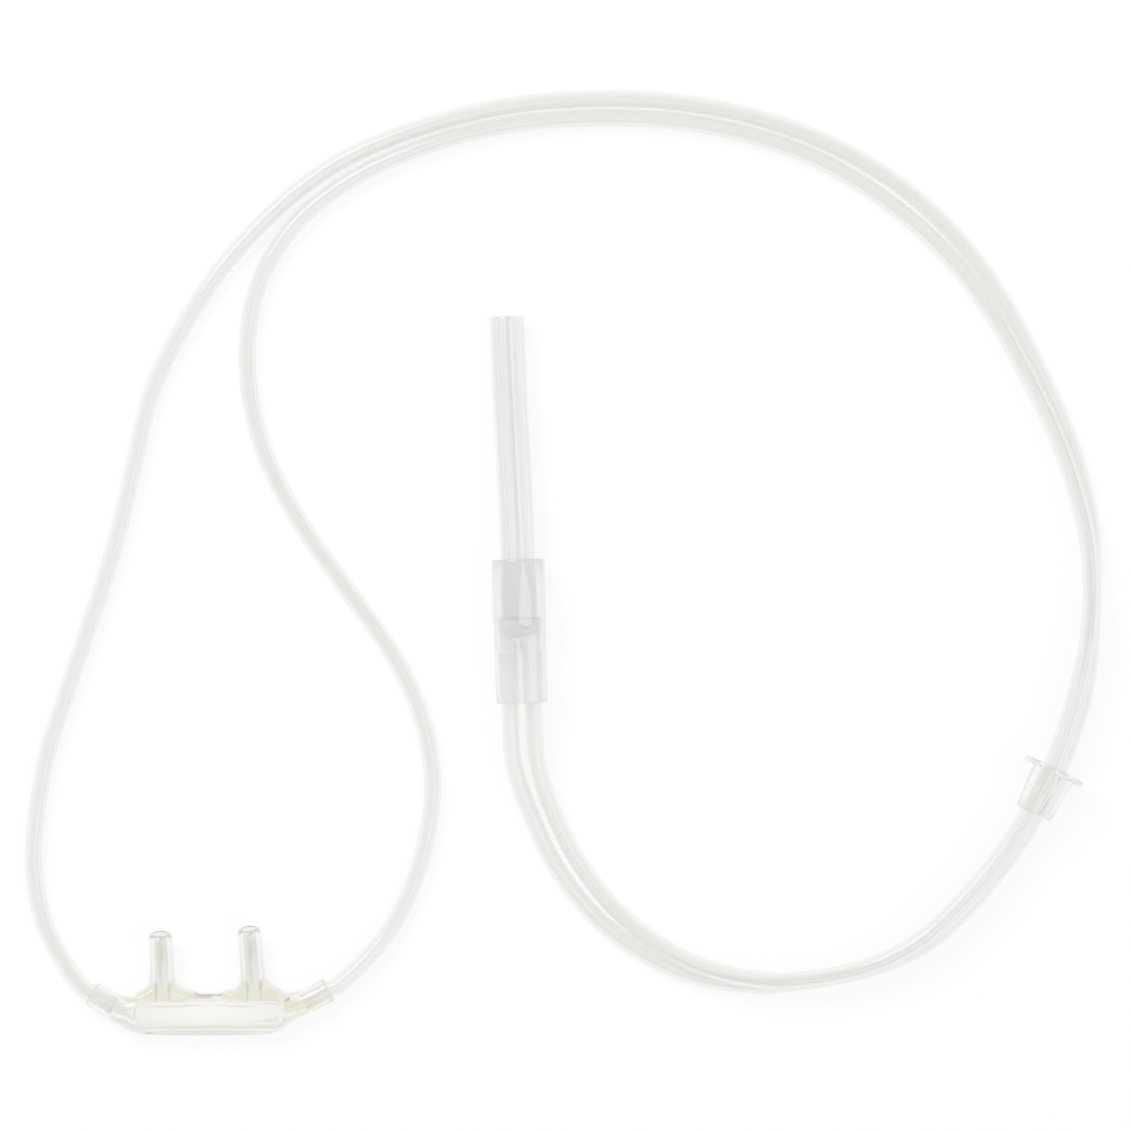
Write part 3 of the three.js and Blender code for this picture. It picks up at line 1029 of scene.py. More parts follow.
@dataclass
class Nosepiece:
    """The soft moulding with two prongs, a lip pad and a collar at each end.

    A field that ends in _run says between which places of a line, from 0 to 1, a size changes.

    Attributes:
        lumen: the gas path's diameter in the arms.
        lumen_flat: how much its radius shrinks, and how far it stretches, under the pad.
        pad_edge: how far inside and outside its outline the pad's edge falls away.
        ledge_line: where the ledge in front of the pad runs, in y.
        bridge_edge: between which y the bridge's edge bulges.
        prong_flare: how far a prong's section stretches where it meets the body.
        bore_flat: how much a prong bore's radius shrinks, and how far it stretches, at its foot.
        bore_opening: how much wider a prong bore is at its tip.
        top_reach: how far from the middle the top is shaped, in x.
        top_span: between which y the top is shaped.
        top_share: the share of the body's radius over which the shaping fades in.
        voxel: the cell size of the blend between the body and the prongs.
        softening: the smoothing steps before and after the top is shaped.
    """

    axis_height: float = NOSE_AXIS_HEIGHT
    body_radius: float = 0.0025
    arm_radius: float = 0.0022
    body_stretch: float = 0.00105
    lumen: float = 0.0024
    lumen_flat: tuple[float, float] = (0.0004, 0.0012)
    lumen_left_run: tuple[float, float] = (0.22, 0.32)
    lumen_right_run: tuple[float, float] = (0.70, 0.80)
    pad_length: float = 0.0256
    pad_width: float = 0.0037
    pad_middle: float = 0.0001
    pad_corner: float = 0.0017
    pad_rise: float = 0.0005
    pad_edge: tuple[float, float] = (-0.00025, 0.0001)
    groove_depth: float = 0.0006
    groove_width: float = 0.00028
    ledge_line: float = -0.0032
    ledge_depth: float = 0.0005
    ledge_width: float = 0.0003
    scoop_depth: float = 0.0013
    scoop_middle: tuple[float, float] = (-0.0004, 0.0031)
    scoop_reach: tuple[float, float] = (0.0036, 0.0010)
    bridge_bulge: float = 0.0005
    bridge_reach: float = 0.0042
    bridge_steepness: float = 3.0
    bridge_edge: tuple[float, float] = (0.0012, 0.0028)
    top_reach: float = 0.016
    top_span: tuple[float, float] = (-0.0045, 0.0050)
    top_share: float = 0.6
    prong_base: float = 0.00235
    prong_tip: float = 0.0021
    prong_run: tuple[float, float] = (0.3, 0.9)
    prong_flare: float = 0.0039
    flare_run: tuple[float, float] = (0.22, 0.52)
    flare_power: float = 2.2
    prong_bore: float = 0.0024
    bore_flat: tuple[float, float] = (0.00055, 0.0008)
    bore_run: tuple[float, float] = (0.12, 0.42)
    bore_opening: float = 0.0003
    opening_run: tuple[float, float] = (0.9, 0.97)
    prong_rim: float = 0.0008
    prong_length: float = 0.018
    socket_opening: float = 0.0002
    socket_slope: float = 0.0004
    voxel: float = 0.00015
    softening: tuple[int, int] = (4, 3)
    softening_factor: float = 0.5
    crease: float = 40.0

    def stations(self) -> list[tuple[float, float, float, float]]:
        """The body from collar mouth to collar mouth: x, y, radius and stretch."""
        arm, body, wide = self.arm_radius, self.body_radius, self.body_stretch
        return [
            (-0.0211, 0.0035, arm, 0.0),
            (-0.0179, 0.00165, arm, 0.0),
            (-0.0154, 0.00045, 0.0024, 0.00035),
            (-0.0126, -0.00015, body, wide),
            (-0.0081, -0.00045, body, wide),
            (0.0, -0.0005, body, wide),
            (0.0078, -0.00035, body, wide),
            (0.0110, 0.0002, body, wide),
            (0.0139, 0.0011, 0.0024, 0.00015),
            (0.0169, 0.0021, arm, 0.0),
            (0.0209, 0.00415, arm, 0.0),
        ]

    def path(self) -> Route:
        """The body's middle line."""
        return Route.through([(x, y, self.axis_height) for x, y, _, _ in self.stations()])

    def mouth(self, side: Side) -> tuple[Vector, Vector]:
        """Finds a collar's mouth.

        Args:
            side: which collar.

        Returns:
            The middle of the mouth, and the way into it.
        """
        path = self.path()
        if side is Side.LEFT:
            return path.at(0.0), path.tangent(0.0)
        return path.at(1.0), -path.tangent(1.0)

    def prong_routes(self) -> list[Route]:
        """Gives the prongs' middle lines, which rise towards the tips.

        Returns:
            The left prong's line and the right one's.
        """
        left = [(-0.0084, -0.0003, 0.0024), (-0.0085, 0.0033, 0.00245), (-0.00855, 0.0060, 0.00265),
                (-0.00865, 0.0100, 0.0033), (-0.0087, 0.0143, 0.0047)]
        right = [(0.0078, -0.0003, 0.0024), (0.0077, 0.0036, 0.00245), (0.0075, 0.0064, 0.00265),
                 (0.0072, 0.0106, 0.0033), (0.0069, 0.0152, 0.0048)]
        return [Route.through(left), Route.through(right)]

    def _prong_size(self, place: float) -> tuple[float, float]:
        """Gives a prong's section: flared at the body, rounded at the tip.

        Args:
            place: from 0 at the body to 1 at the tip.

        Returns:
            Its radius and stretch.
        """
        radius = self.prong_base + (self.prong_tip - self.prong_base) * eased(place, *self.prong_run)
        start, end = self.flare_run
        run = (place - start) / (end - start)
        flare = self.prong_flare * (1 - min(max(run, 0.0), 1.0)) ** self.flare_power
        left = max(0.0, (1 - place) * self.prong_length)
        if left < self.prong_rim:
            slope = 1 - left / self.prong_rim
            radius -= self.prong_rim * (1 - math.sqrt(1 - slope * slope))
        return radius, flare

    def _lumen_size(self, place: float) -> tuple[float, float]:
        """Gives the gas path's section: round in the arms, wide and flat under the pad.

        Args:
            place: from 0 at the left collar to 1 at the right one.

        Returns:
            Its radius and stretch.
        """
        flat = eased(place, *self.lumen_left_run) * (1 - eased(place, *self.lumen_right_run))
        return self.lumen / 2 - self.lumen_flat[0] * flat, self.lumen_flat[1] * flat

    def _bore_size(self, place: float) -> tuple[float, float]:
        """Gives a prong bore's section: flat where it leaves the gas path, open at the tip.

        Args:
            place: from 0 at the gas path to 1 past the tip.

        Returns:
            Its radius and stretch.
        """
        flat = 1 - eased(place, *self.bore_run)
        opened = self.bore_opening * eased(place, *self.opening_run)
        return self.prong_bore / 2 - self.bore_flat[0] * flat + opened, self.bore_flat[1] * flat

    def _rise(self, x: float, y: float) -> float:
        """Finds how far the top stands over the plain body, with all that is moulded on it.

        Args:
            x: a place on the top, along the nosepiece.
            y: the same place, across it.

        Returns:
            The rise of the pad, less the depths of its groove, the ledge and the scoop.
        """
        inner_x = max(0.0, abs(x) - (self.pad_length / 2 - self.pad_corner))
        inner_y = max(0.0, abs(y - self.pad_middle) - (self.pad_width / 2 - self.pad_corner))
        outside = math.hypot(inner_x, inner_y) - self.pad_corner
        pad = self.pad_rise * (1 - eased(outside, *self.pad_edge))
        groove = self.groove_depth * math.exp(-((outside - self.groove_width) / self.groove_width) ** 2)
        half = self.pad_length / 2
        ledge = self.ledge_depth * math.exp(-((y - self.ledge_line) / self.ledge_width) ** 2)
        ledge *= 1 - eased(abs(x), half - 2 * self.pad_corner, half)
        sideways = (x - self.scoop_middle[0]) / self.scoop_reach[0]
        lengthways = (y - self.scoop_middle[1]) / self.scoop_reach[1]
        scoop = self.scoop_depth * math.exp(-sideways ** 2 - lengthways ** 2)
        return pad - groove - ledge - scoop

    def build(self, finish: bpy.types.Material) -> bpy.types.Object:
        """Builds the moulding: one blended skin, then its bores.

        Args:
            finish: its material.

        Returns:
            The finished piece.
        """
        stations = self.stations()
        sizes = Route.through([(radius, stretch, 0.0) for _, _, radius, stretch in stations])
        skin = rings_along(self.path(), lambda place: tuple(sizes.at(place)[:2]), count=90)
        body = lofted("nosepiece_moulding", skin, sides=48)
        routes = self.prong_routes()
        prongs = [lofted("prong", rings_along(route, self._prong_size, count=120), sides=48)
                  for route in routes]
        combined(body, prongs, "UNION")
        remesh = body.modifiers.new("blend", "REMESH")
        remesh.mode = "VOXEL"
        remesh.voxel_size = self.voxel
        self._soften(body, self.softening[0])
        self._shape_top(body.data)
        self._soften(body, self.softening[1])
        combined(body, self._cutters(routes), "DIFFERENCE")
        body.data.materials.clear()
        body.data.materials.append(finish)
        return smooth_shaded(body, self.crease)

    def _soften(self, body: bpy.types.Object, steps: int) -> None:
        """Smooths the skin, and applies the modifiers.

        Args:
            body: the moulding.
            steps: how many times its points are smoothed.
        """
        soften = body.modifiers.new("soften", "SMOOTH")
        soften.iterations = steps
        soften.factor = self.softening_factor
        settled(body)

    def _shape_top(self, mesh: bpy.types.Mesh) -> None:
        """Moves the skin's points to form the bridge between the prongs and all that is on top.

        Args:
            mesh: the skin, which is changed.
        """
        low, high = self.top_span
        shoulder = self.axis_height + self.top_share * self.body_radius
        for vertex in mesh.vertices:
            x, y, z = vertex.co
            between = max(0.0, 1 - ((x - self.scoop_middle[0]) / self.bridge_reach) ** 2)
            bulge = self.bridge_bulge * min(1.0, self.bridge_steepness * between)
            vertex.co.y += bulge * eased(y, *self.bridge_edge)
            if z > self.axis_height and abs(x) < self.top_reach and low < y < high:
                vertex.co.z += self._rise(x, y) * eased(z, self.axis_height, shoulder)
            vertex.co.z = max(vertex.co.z, 0.0)

    def _cutters(self, routes: Sequence[Route]) -> list[bpy.types.Object]:
        """Makes the gas path, both sockets and both prong bores.

        Args:
            routes: the prongs' middle lines.

        Returns:
            The closed cutters.
        """
        cutters = [lofted("lumen", rings_along(self.path(), self._lumen_size, count=80), sides=40)]
        rows = socket_rows(HEAD_TUBE_OUTER / 2 + SOCKET_CLEARANCE, NOSE_SOCKET_DEPTH,
                           self.socket_opening, self.socket_slope)
        for side in Side:
            mouth, inward = self.mouth(side)
            socket = straight_rings(mouth, inward, UP.cross(inward), rows)
            cutters.append(lofted("socket", socket, sides=32))
        for route in routes:
            past = route.at(1.0) + route.tangent(1.0) * OVERRUN
            bore = rings_along(Route((*route.points, past)), self._bore_size, count=60)
            cutters.append(lofted("bore", bore, sides=32))
        return cutters


@dataclass
class TubePair:
    """The two head tubes' routes: side by side, then one leaning over the other.

    Attributes:
        nosepiece: the moulding that they start from.
        collar_run: how far they go straight out of its collars.
        approach: how far they go straight into the Y connector.
        run_up: where they come from before that, in the connector's frame.
    """

    nosepiece: Nosepiece
    collar_run: float = 0.002
    approach: float = 0.003
    run_up: tuple[float, float] = (0.0003, -0.010)

    LEFT_ROUTE = (
        (-0.0262, 0.0093, 0.0021), (-0.0300, 0.0170, 0.0016), (-0.0315, 0.0289, 0.0),
        (-0.0293, 0.0448, 0.0), (-0.0260, 0.0554, 0.0), (-0.0225, 0.0660, 0.0),
        (-0.0189, 0.0766, 0.0), (-0.0159, 0.0873, 0.0), (-0.0135, 0.0979, 0.0),
        (-0.0110, 0.1085, 0.0), (-0.0079, 0.1160, 0.0), (-0.0038, 0.1235, 0.0),
        (0.0016, 0.1316, 0.0), (0.0083, 0.1392, 0.0), (0.0160, 0.1462, 0.0),
    )
    RIGHT_ROUTE = (
        (0.0274, 0.0094, 0.0021), (0.0330, 0.0168, 0.0016), (0.0372, 0.0270, 0.0),
        (0.0392, 0.0380, 0.0), (0.0385, 0.0475, 0.0), (0.0353, 0.0575, 0.0),
        (0.0299, 0.0670, 0.0), (0.0229, 0.0766, 0.0), (0.0155, 0.0873, 0.0),
        (0.0099, 0.0979, 0.0), (0.0070, 0.1085, 0.0), (0.0064, 0.1175, 0.0),
        (0.0074, 0.1255, 0.0), (0.0103, 0.1332, 0.0), (0.0166, 0.1415, 0.0),
    )

    def stations(self) -> list[Station]:
        """Lists the pair's middle line.

        Returns:
            For each station x, y, the lean in degrees, the lower tube's lift and the extra room
            between the tubes.
        """
        lift = (CONNECTOR_OUTER - HEAD_TUBE_OUTER) / 2
        spread = BRANCH_SPACING - PAIR_SPACING
        mouth, approach = connector_point(0.0, 0.0), connector_point(0.0, -self.approach)
        run_up = connector_point(*self.run_up)
        lean, raised = SLIDER_LEAN, SLIDER_LIFT
        return [
            (0.0260, 0.1504, 0.0, 0.0, 0.0004),
            (0.0391, 0.1557, 0.0, 0.0, 0.0),
            (0.0528, 0.1590, 0.0, 0.0, 0.0),
            (0.0668, 0.1602, 0.0, 0.0, 0.0),
            (0.0809, 0.1598, 0.0, 0.0, 0.0),
            (0.0948, 0.1574, 0.0, 0.0, 0.0),
            (0.1080, 0.1528, 0.0, 0.0, 0.0),
            (0.1202, 0.1457, 0.0, 0.0, 0.0002),
            (0.1307, 0.1364, 12.0, 0.0, 0.0001),
            (0.1391, 0.1252, 30.0, 0.0, 0.0),
            (0.1458, 0.1128, 44.0, 0.0, 0.0),
            (0.1515, 0.0999, 52.0, 0.0, 0.0),
            arc_station(7.5, 64.0, 0.0),
            arc_station(0.0, 80.0, 0.0),
            arc_station(-7.0, 74.0, raised * 0.7),
            arc_station(-13.0, lean, raised),
            arc_station(-19.0, lean, raised),
            arc_station(-25.0, lean, raised),
            arc_station(-32.0, lean, raised),
            arc_station(-39.0, lean, raised),
            arc_station(-45.0, lean, raised),
            arc_station(-51.0, 64.0, raised * 0.6),
            (0.1173, 0.0084, 76.0, raised * 0.2, 0.0),
            (0.1072, 0.0061, 82.0, 0.0, 0.0),
            (0.0962, 0.0055, 68.0, 0.0, 0.0),
            (0.0835, 0.0085, 44.0, 0.0, 0.0),
            (0.0717, 0.0160, 12.0, 0.0, 0.0001),
            (0.0633, 0.0260, 0.0, 0.0005, 0.0004),
            (0.0580, 0.0370, 0.0, 0.0017, 0.0005),
            (run_up.x, run_up.y, 0.0, lift * 0.9, spread),
            (approach.x, approach.y, 0.0, lift, spread),
            (mouth.x, mouth.y, 0.0, lift, spread),
        ]

    def _pair_points(self, side: Side) -> list[Vector]:
        """Finds one tube's points along the pair.

        Args:
            side: which tube.

        Returns:
            The points, from where the tubes meet to the Y connector's mouth.
        """
        stations = self.stations()
        middle = Route.through([(x, y, 0.0) for x, y, _, _, _ in stations])
        points = []
        for index, (x, y, lean, lift, spread) in enumerate(stations):
            along = middle.tangent(index / (len(stations) - 1))
            apart = (PAIR_SPACING + spread) / 2
            rise = apart * math.sin(math.radians(lean)) * (1 - side.value)
            sideways = UP.cross(along) * (side.value * apart * math.cos(math.radians(lean)))
            points.append(Vector((x, y, HEAD_TUBE_OUTER / 2 + lift + rise)) + sideways)
        return points

    def route(self, side: Side) -> Route:
        """Finds a head tube's whole route.

        Args:
            side: which tube.

        Returns:
            The route, from inside its collar's socket to inside the Y connector's.
        """
        mouth, inward = self.nosepiece.mouth(side)
        depths = (NOSE_SOCKET_DEPTH - END_GAP, 0.0, -self.collar_run)
        collar = [mouth + inward * depth for depth in depths]
        own = self.LEFT_ROUTE if side is Side.LEFT else self.RIGHT_ROUTE
        resting = rested([Vector(point) for point in own], HEAD_TUBE_OUTER)
        end = connector_point(-side.value * BRANCH_SPACING / 2, BRANCH_SOCKET_DEPTH - END_GAP)
        return Route((*collar, *resting, *self._pair_points(side), end))


@dataclass
class HeadTube:
    """One clear head tube.

    Attributes:
        side: which one it is.
        pair: the routes of both.
        step: the distance between its sections.
        points_round: the number of points in a section.
        rim: how much its cut edges are rounded.
    """

    side: Side
    pair: TubePair
    step: float = 0.0012
    points_round: int = 24
    rim: float = 0.00012

    def build(self, sweep: HoseSweep, finish: bpy.types.Material) -> bpy.types.Object:
        """Args:
            sweep: makes its walls.
            finish: its material.

        Returns:
            The finished piece.
        """
        name = f"{self.side.name.lower()}_head_hose"
        path = rested(self.pair.route(self.side).spaced(self.step), HEAD_TUBE_OUTER)
        sizes = (HEAD_TUBE_OUTER / 2, HEAD_TUBE_BORE / 2, *sweep.NO_RIDGES, self.points_round)
        piece = sweep.hose(name, path, sizes, finish, self.rim)
        stood_for(piece, "cannula", f"head_tube_{self.side.name.lower()}")
        tuple(self.pair.nosepiece.mouth(self.side)[0])
        return piece


@dataclass
class SupplyTube:
    """The cut stub of the supply tube, with ridges along its bore.

    Attributes:
        straight_run: how far it goes straight out of the Y connector.
        route_down: its points from there down to the floor.
        step: the distance between its sections.
        points_round: the number of points in a section.
        ridge_count: how many ridges there are.
        ridge_share: their height, as a share of the bore's radius.
        ridge_turn: the angle of the first one, in degrees.
        ridge_sharpness: how narrow they are.
        rim: how much its cut edges are rounded.
    """

    straight_run: float = 0.004
    route_down: tuple[Point, ...] = (
        (0.0536, 0.0980, 0.0041), (0.0529, 0.1110, 0.00335), (0.0524, 0.1232, SUPPLY_TUBE_OUTER / 2))
    step: float = 0.0009
    points_round: int = 70
    ridge_count: float = 5.0
    ridge_share: float = 0.26
    ridge_turn: float = 61.0
    ridge_sharpness: float = 3.0
    rim: float = 0.0003

    def route(self) -> Route:
        """Finds the tube's route.

        Returns:
            The route, from inside the Y connector down to the floor at the cut end.
        """
        inside = connector_point(0.0, CONNECTOR_LENGTH - SUPPLY_SOCKET_DEPTH + END_GAP)
        mouth = connector_point(0.0, CONNECTOR_LENGTH)
        outside = connector_point(0.0, CONNECTOR_LENGTH + self.straight_run)
        return Route((inside, mouth, outside, *(Vector(point) for point in self.route_down)))

    def build(self, sweep: HoseSweep, finish: bpy.types.Material) -> bpy.types.Object:
        """Args:
            sweep: makes its walls.
            finish: its material.

        Returns:
            The finished piece.
        """
        path = rested(self.route().spaced(self.step), SUPPLY_TUBE_OUTER)
        sizes = (SUPPLY_TUBE_OUTER / 2, SUPPLY_TUBE_BORE / 2, self.ridge_share, self.ridge_count,
                 math.radians(self.ridge_turn), self.ridge_sharpness, self.points_round)
        piece = sweep.hose("supply_hose", path, sizes, finish, self.rim)
        stood_for(piece, "cannula", "supply_tube")
        return piece


@dataclass
class YConnector:
    """The moulded connector: two small sockets, a web between them and one wide socket.

    Attributes:
        shoulder: rows of the share of the shoulder's length, how far its radius is from the
            branches' radius (first row) or the wide end's (second row), and its stretch.
        lumen: the diameter of both passages and the height of the chamber where they meet.
        chamber_start: where the passages end in the chamber.
        chamber_edge: how long the chamber's first edge is, and how much narrower.
        web_radius: the radius of the web's arched end.
        web_lean: how much that radius grows downwards and shrinks upwards.
        valley_height: how far the valleys' axes are over and under the connector's.
        valley_end: how far before and after the branches' end a valley runs out.
        valley_taper: the share of its radius that it has there.
        gate: the moulding gate's place, in the connector's frame.
        dimple: rows of shares of the dimple's depth and of its radius.
        socket_floor: how far the wide socket's chamfered floor goes down and in.
        foot: the middle of the branches' end.
        axis: the direction from there to the supply tube.
        across: the direction across both branches.
    """

    branch_radius: float = 0.0032
    branch_stretch: float = 0.0014
    branch_length: float = 0.0116
    shoulder_length: float = 0.0026
    shoulder: tuple[Row, Row] = ((0.3, 0.0003, 0.00115), (0.7, -0.0003, 0.0002))
    lumen: float = 0.0024
    chamber_start: float = 0.0125
    chamber_edge: tuple[float, float] = (0.0006, 0.0002)
    web_radius: float = 0.0021
    web_lean: float = 0.0005
    valley_height: float = 0.0042
    valley_radius: float = 0.0016
    valley_end: tuple[float, float] = (0.0005, 0.0015)
    valley_taper: float = 0.4
    gate: tuple[float, float] = (-0.0005, 0.0247)
    dimple_radius: float = 0.0005
    dimple_depth: float = 0.0003
    dimple: tuple[tuple[float, float], ...] = ((0.0, 0.5), (0.3, 0.85), (2.0, 1.2))
    witness_length: float = 0.0042
    witness_radius: float = 0.00018
    socket_opening: float = 0.0003
    socket_slope: float = 0.0005
    socket_floor: tuple[float, float] = (0.0005, 0.0008)
    rim: float = 0.0004
    foot: Vector = field(init=False)
    axis: Vector = field(init=False)
    across: Vector = field(init=False)

    def __post_init__(self) -> None:
        """Works out the place and the directions that all its parts are built from."""
        self.foot = connector_point(0.0, 0.0)
        self.axis = connector_axis()
        self.across = UP.cross(self.axis)

    def _along(self, start: Vector, rows: Sequence[Row]) -> list[Ring]:
        """Sections along the connector's axis, from rows of distance, radius and stretch."""
        return straight_rings(start, self.axis, self.across, rows)

    def build(self, finish: bpy.types.Material) -> bpy.types.Object:
        """Builds the body and cuts its sockets and passages.

        Args:
            finish: its material.

        Returns:
            The finished piece.
        """
        outer = CONNECTOR_OUTER / 2
        shoulder = [
            (self.branch_length + share * self.shoulder_length, radius + more, stretch)
            for radius, (share, more, stretch) in zip((self.branch_radius, outer), self.shoulder)]
        rows = [
            (0.0, self.branch_radius, self.branch_stretch),
            (self.branch_length, self.branch_radius, self.branch_stretch),
            *shoulder,
            (self.branch_length + self.shoulder_length, outer, 0.0),
            (CONNECTOR_LENGTH, outer, 0.0),
        ]
        skin = self._along(self.foot, rounded_rows(rows, self.rim))
        body = lofted("connector_moulding", skin, sides=72)
        combined(body, [self._witness_line()], "UNION")
        combined(body, [*self._valleys(), self._gate_dimple()], "DIFFERENCE")
        combined(body, self._cutters(), "DIFFERENCE")
        body.data.materials.append(finish)
        return smooth_shaded(body)

    def _witness_line(self) -> bpy.types.Object:
        """Makes the fine raised line below the moulding gate.

        Returns:
            The line, as a thin rod half sunk into the skin.
        """
        start = connector_point(self.gate[0], self.gate[1] - self.witness_length)
        start += UP * (CONNECTOR_OUTER / 2 - self.witness_radius / 2)
        rows = [(0.0, self.witness_radius, 0.0), (self.witness_length, self.witness_radius, 0.0)]
        return lofted("witness", self._along(start, rows), sides=16)

    def _gate_dimple(self) -> bpy.types.Object:
        """Makes the small round dimple that the moulding gate left.

        Returns:
            Its cutter.
        """
        start = connector_point(*self.gate) + UP * (CONNECTOR_OUTER / 2 - self.dimple_depth)
        rows = [(self.dimple_depth * height, self.dimple_radius * width, 0.0)
                for height, width in self.dimple]
        return lofted("dimple", straight_rings(start, UP, self.axis, rows), sides=24)

    def _valleys(self) -> list[bpy.types.Object]:
        """Makes the valleys between the two branches, above and below.

        Returns:
            Their cutters.
        """
        before, after = self.valley_end
        rows = [(0.0, self.valley_radius, 0.0),
                (self.branch_length - before, self.valley_radius, 0.0),
                (self.branch_length + after, self.valley_radius * self.valley_taper, 0.0)]
        valleys = []
        for side in (1.0, -1.0):
            start = connector_point(0.0, -OVERRUN) + UP * side * self.valley_height
            valleys.append(lofted("valley", self._along(start, rows), sides=32))
        return valleys

    def _chamber(self, floor: float) -> bpy.types.Object:
        """Makes the hollow where both passages meet, over the arched end of the web between them.

        Args:
            floor: how far along the connector the wide socket's floor is.

        Returns:
            Its cutter.
        """
        width = BRANCH_SPACING / 2
        base = self.chamber_start - self.web_radius
        edge, narrower = self.chamber_edge
        rows = [(base, self.lumen / 2 - narrower, width), (base + edge, self.lumen / 2, width),
                (floor + OVERRUN, self.lumen / 2, width)]
        hollow = lofted("chamber", self._along(self.foot, rows), sides=64)
        foot = connector_point(0.0, base) - UP * self.branch_radius
        web = [(0.0, self.web_radius + self.web_lean, 0.0),
               (2 * self.branch_radius, self.web_radius - self.web_lean, 0.0)]
        arch = lofted("web", straight_rings(foot, UP, self.axis, web), sides=48)
        return combined(hollow, [arch], "DIFFERENCE")

    def _cutters(self) -> list[bpy.types.Object]:
        """Makes both small sockets and their passages, the chamber and the wide socket.

        Returns:
            The closed cutters.
        """
        small = socket_rows(HEAD_TUBE_OUTER / 2 + SOCKET_CLEARANCE, BRANCH_SOCKET_DEPTH,
                            self.socket_opening, self.socket_slope)
        passage = [(BRANCH_SOCKET_DEPTH / 2, self.lumen / 2, 0.0),
                   (self.chamber_start, self.lumen / 2, 0.0)]
        cutters = []
        for side in Side:
            start = connector_point(side.value * BRANCH_SPACING / 2, 0.0)
            for rows in (small, passage):
                cutters.append(lofted("cutter", self._along(start, rows), sides=40))
        floor = CONNECTOR_LENGTH - SUPPLY_SOCKET_DEPTH
        cutters.append(self._chamber(floor))
        radius = SUPPLY_TUBE_OUTER / 2 + SOCKET_CLEARANCE
        down, inwards = self.socket_floor
        wide = socket_rows(radius, SUPPLY_SOCKET_DEPTH, self.socket_opening, self.socket_slope)
        turned = [(CONNECTOR_LENGTH - depth, size, stretch) for depth, size, stretch in reversed(wide)]
        rows = [(floor - down, radius - inwards, 0.0), *turned]
        cutters.append(lofted("cutter", self._along(self.foot, rows), sides=64))
        return cutters


@dataclass
class Slider:
    """The sleeve that holds the pair together: an oval taper with a flange.

    Attributes:
        clearance: the gap between the tubes and the bore.
        wall: the sleeve's wall at its narrow end.
        taper: how much thicker the wall is at the flange.
        sleeve_start: how deep in the flange the sleeve starts, as a share of its thickness.
        flange_rim: the radius of the flange's rounding, as a share of its thickness.
        floor_gap: how far the flange is over the floor.
        bore_opening: how much wider the bore is at both ends.
        bore_slope: how far in it gets narrower.
        rim: the radius of the rounding at the sleeve's ends.
    """

    length: float = 0.0089
    clearance: float = 0.0003
    wall: float = 0.0008
    taper: float = 0.00055
    sleeve_start: float = 0.3
    flange_thickness: float = 0.0011
    flange_half_width: float = 0.0057
    flange_rim: float = 0.45
    floor_gap: float = 0.00015
    bore_opening: float = 0.0003
    bore_slope: float = 0.0006
    rim: float = 0.00025

    def build(self, finish: bpy.types.Material) -> bpy.types.Object:
        """Builds the sleeve and its flange, and cuts the oval bore.

        Args:
            finish: its material.

        Returns:
            The finished piece.
        """
        angle, lean = math.radians(SLIDER_ANGLE), math.radians(SLIDER_LEAN)
        outward = Vector((math.cos(angle), math.sin(angle), 0.0))
        along = Vector((math.sin(angle), -math.cos(angle), 0.0))
        across = UP * math.sin(lean) - outward * math.cos(lean)
        half = PAIR_SPACING / 2
        height = HEAD_TUBE_OUTER / 2 + SLIDER_LIFT + half * math.sin(lean)
        middle = Vector((*ARC_CENTRE, height)) + outward * ARC_RADIUS
        start = middle - along * (self.length / 2)
        bore_radius = HEAD_TUBE_OUTER / 2 + self.clearance
        narrow = bore_radius + self.wall
        sleeve_rows = rounded_rows(
            [(self.flange_thickness * self.sleeve_start, narrow + self.taper, half),
             (self.length, narrow, half)],
            self.rim)
        flange_radius = height - self.floor_gap
        flat = self.flange_half_width - flange_radius
        flange_rows = rounded_rows(
            [(0.0, flange_radius, flat), (self.flange_thickness, flange_radius, flat)],
            self.flange_thickness * self.flange_rim)
        near_end = socket_rows(bore_radius, self.length - self.bore_slope,
                               self.bore_opening, self.bore_slope, stretch=half)
        bore_rows = [*near_end, (self.length, bore_radius + self.bore_opening, half),
                     (self.length + OVERRUN, bore_radius + self.bore_opening, half)]
        sleeve = lofted("slider_sleeve", straight_rings(start, along, across, sleeve_rows), sides=72)
        flange = lofted("flange", straight_rings(start, along, outward, flange_rows), sides=72)
        bore = lofted("bore", straight_rings(start, along, across, bore_rows), sides=56)
        combined(sleeve, [flange], "UNION")
        combined(sleeve, [bore], "DIFFERENCE")
        sleeve.data.materials.append(finish)
        return smooth_shaded(sleeve)


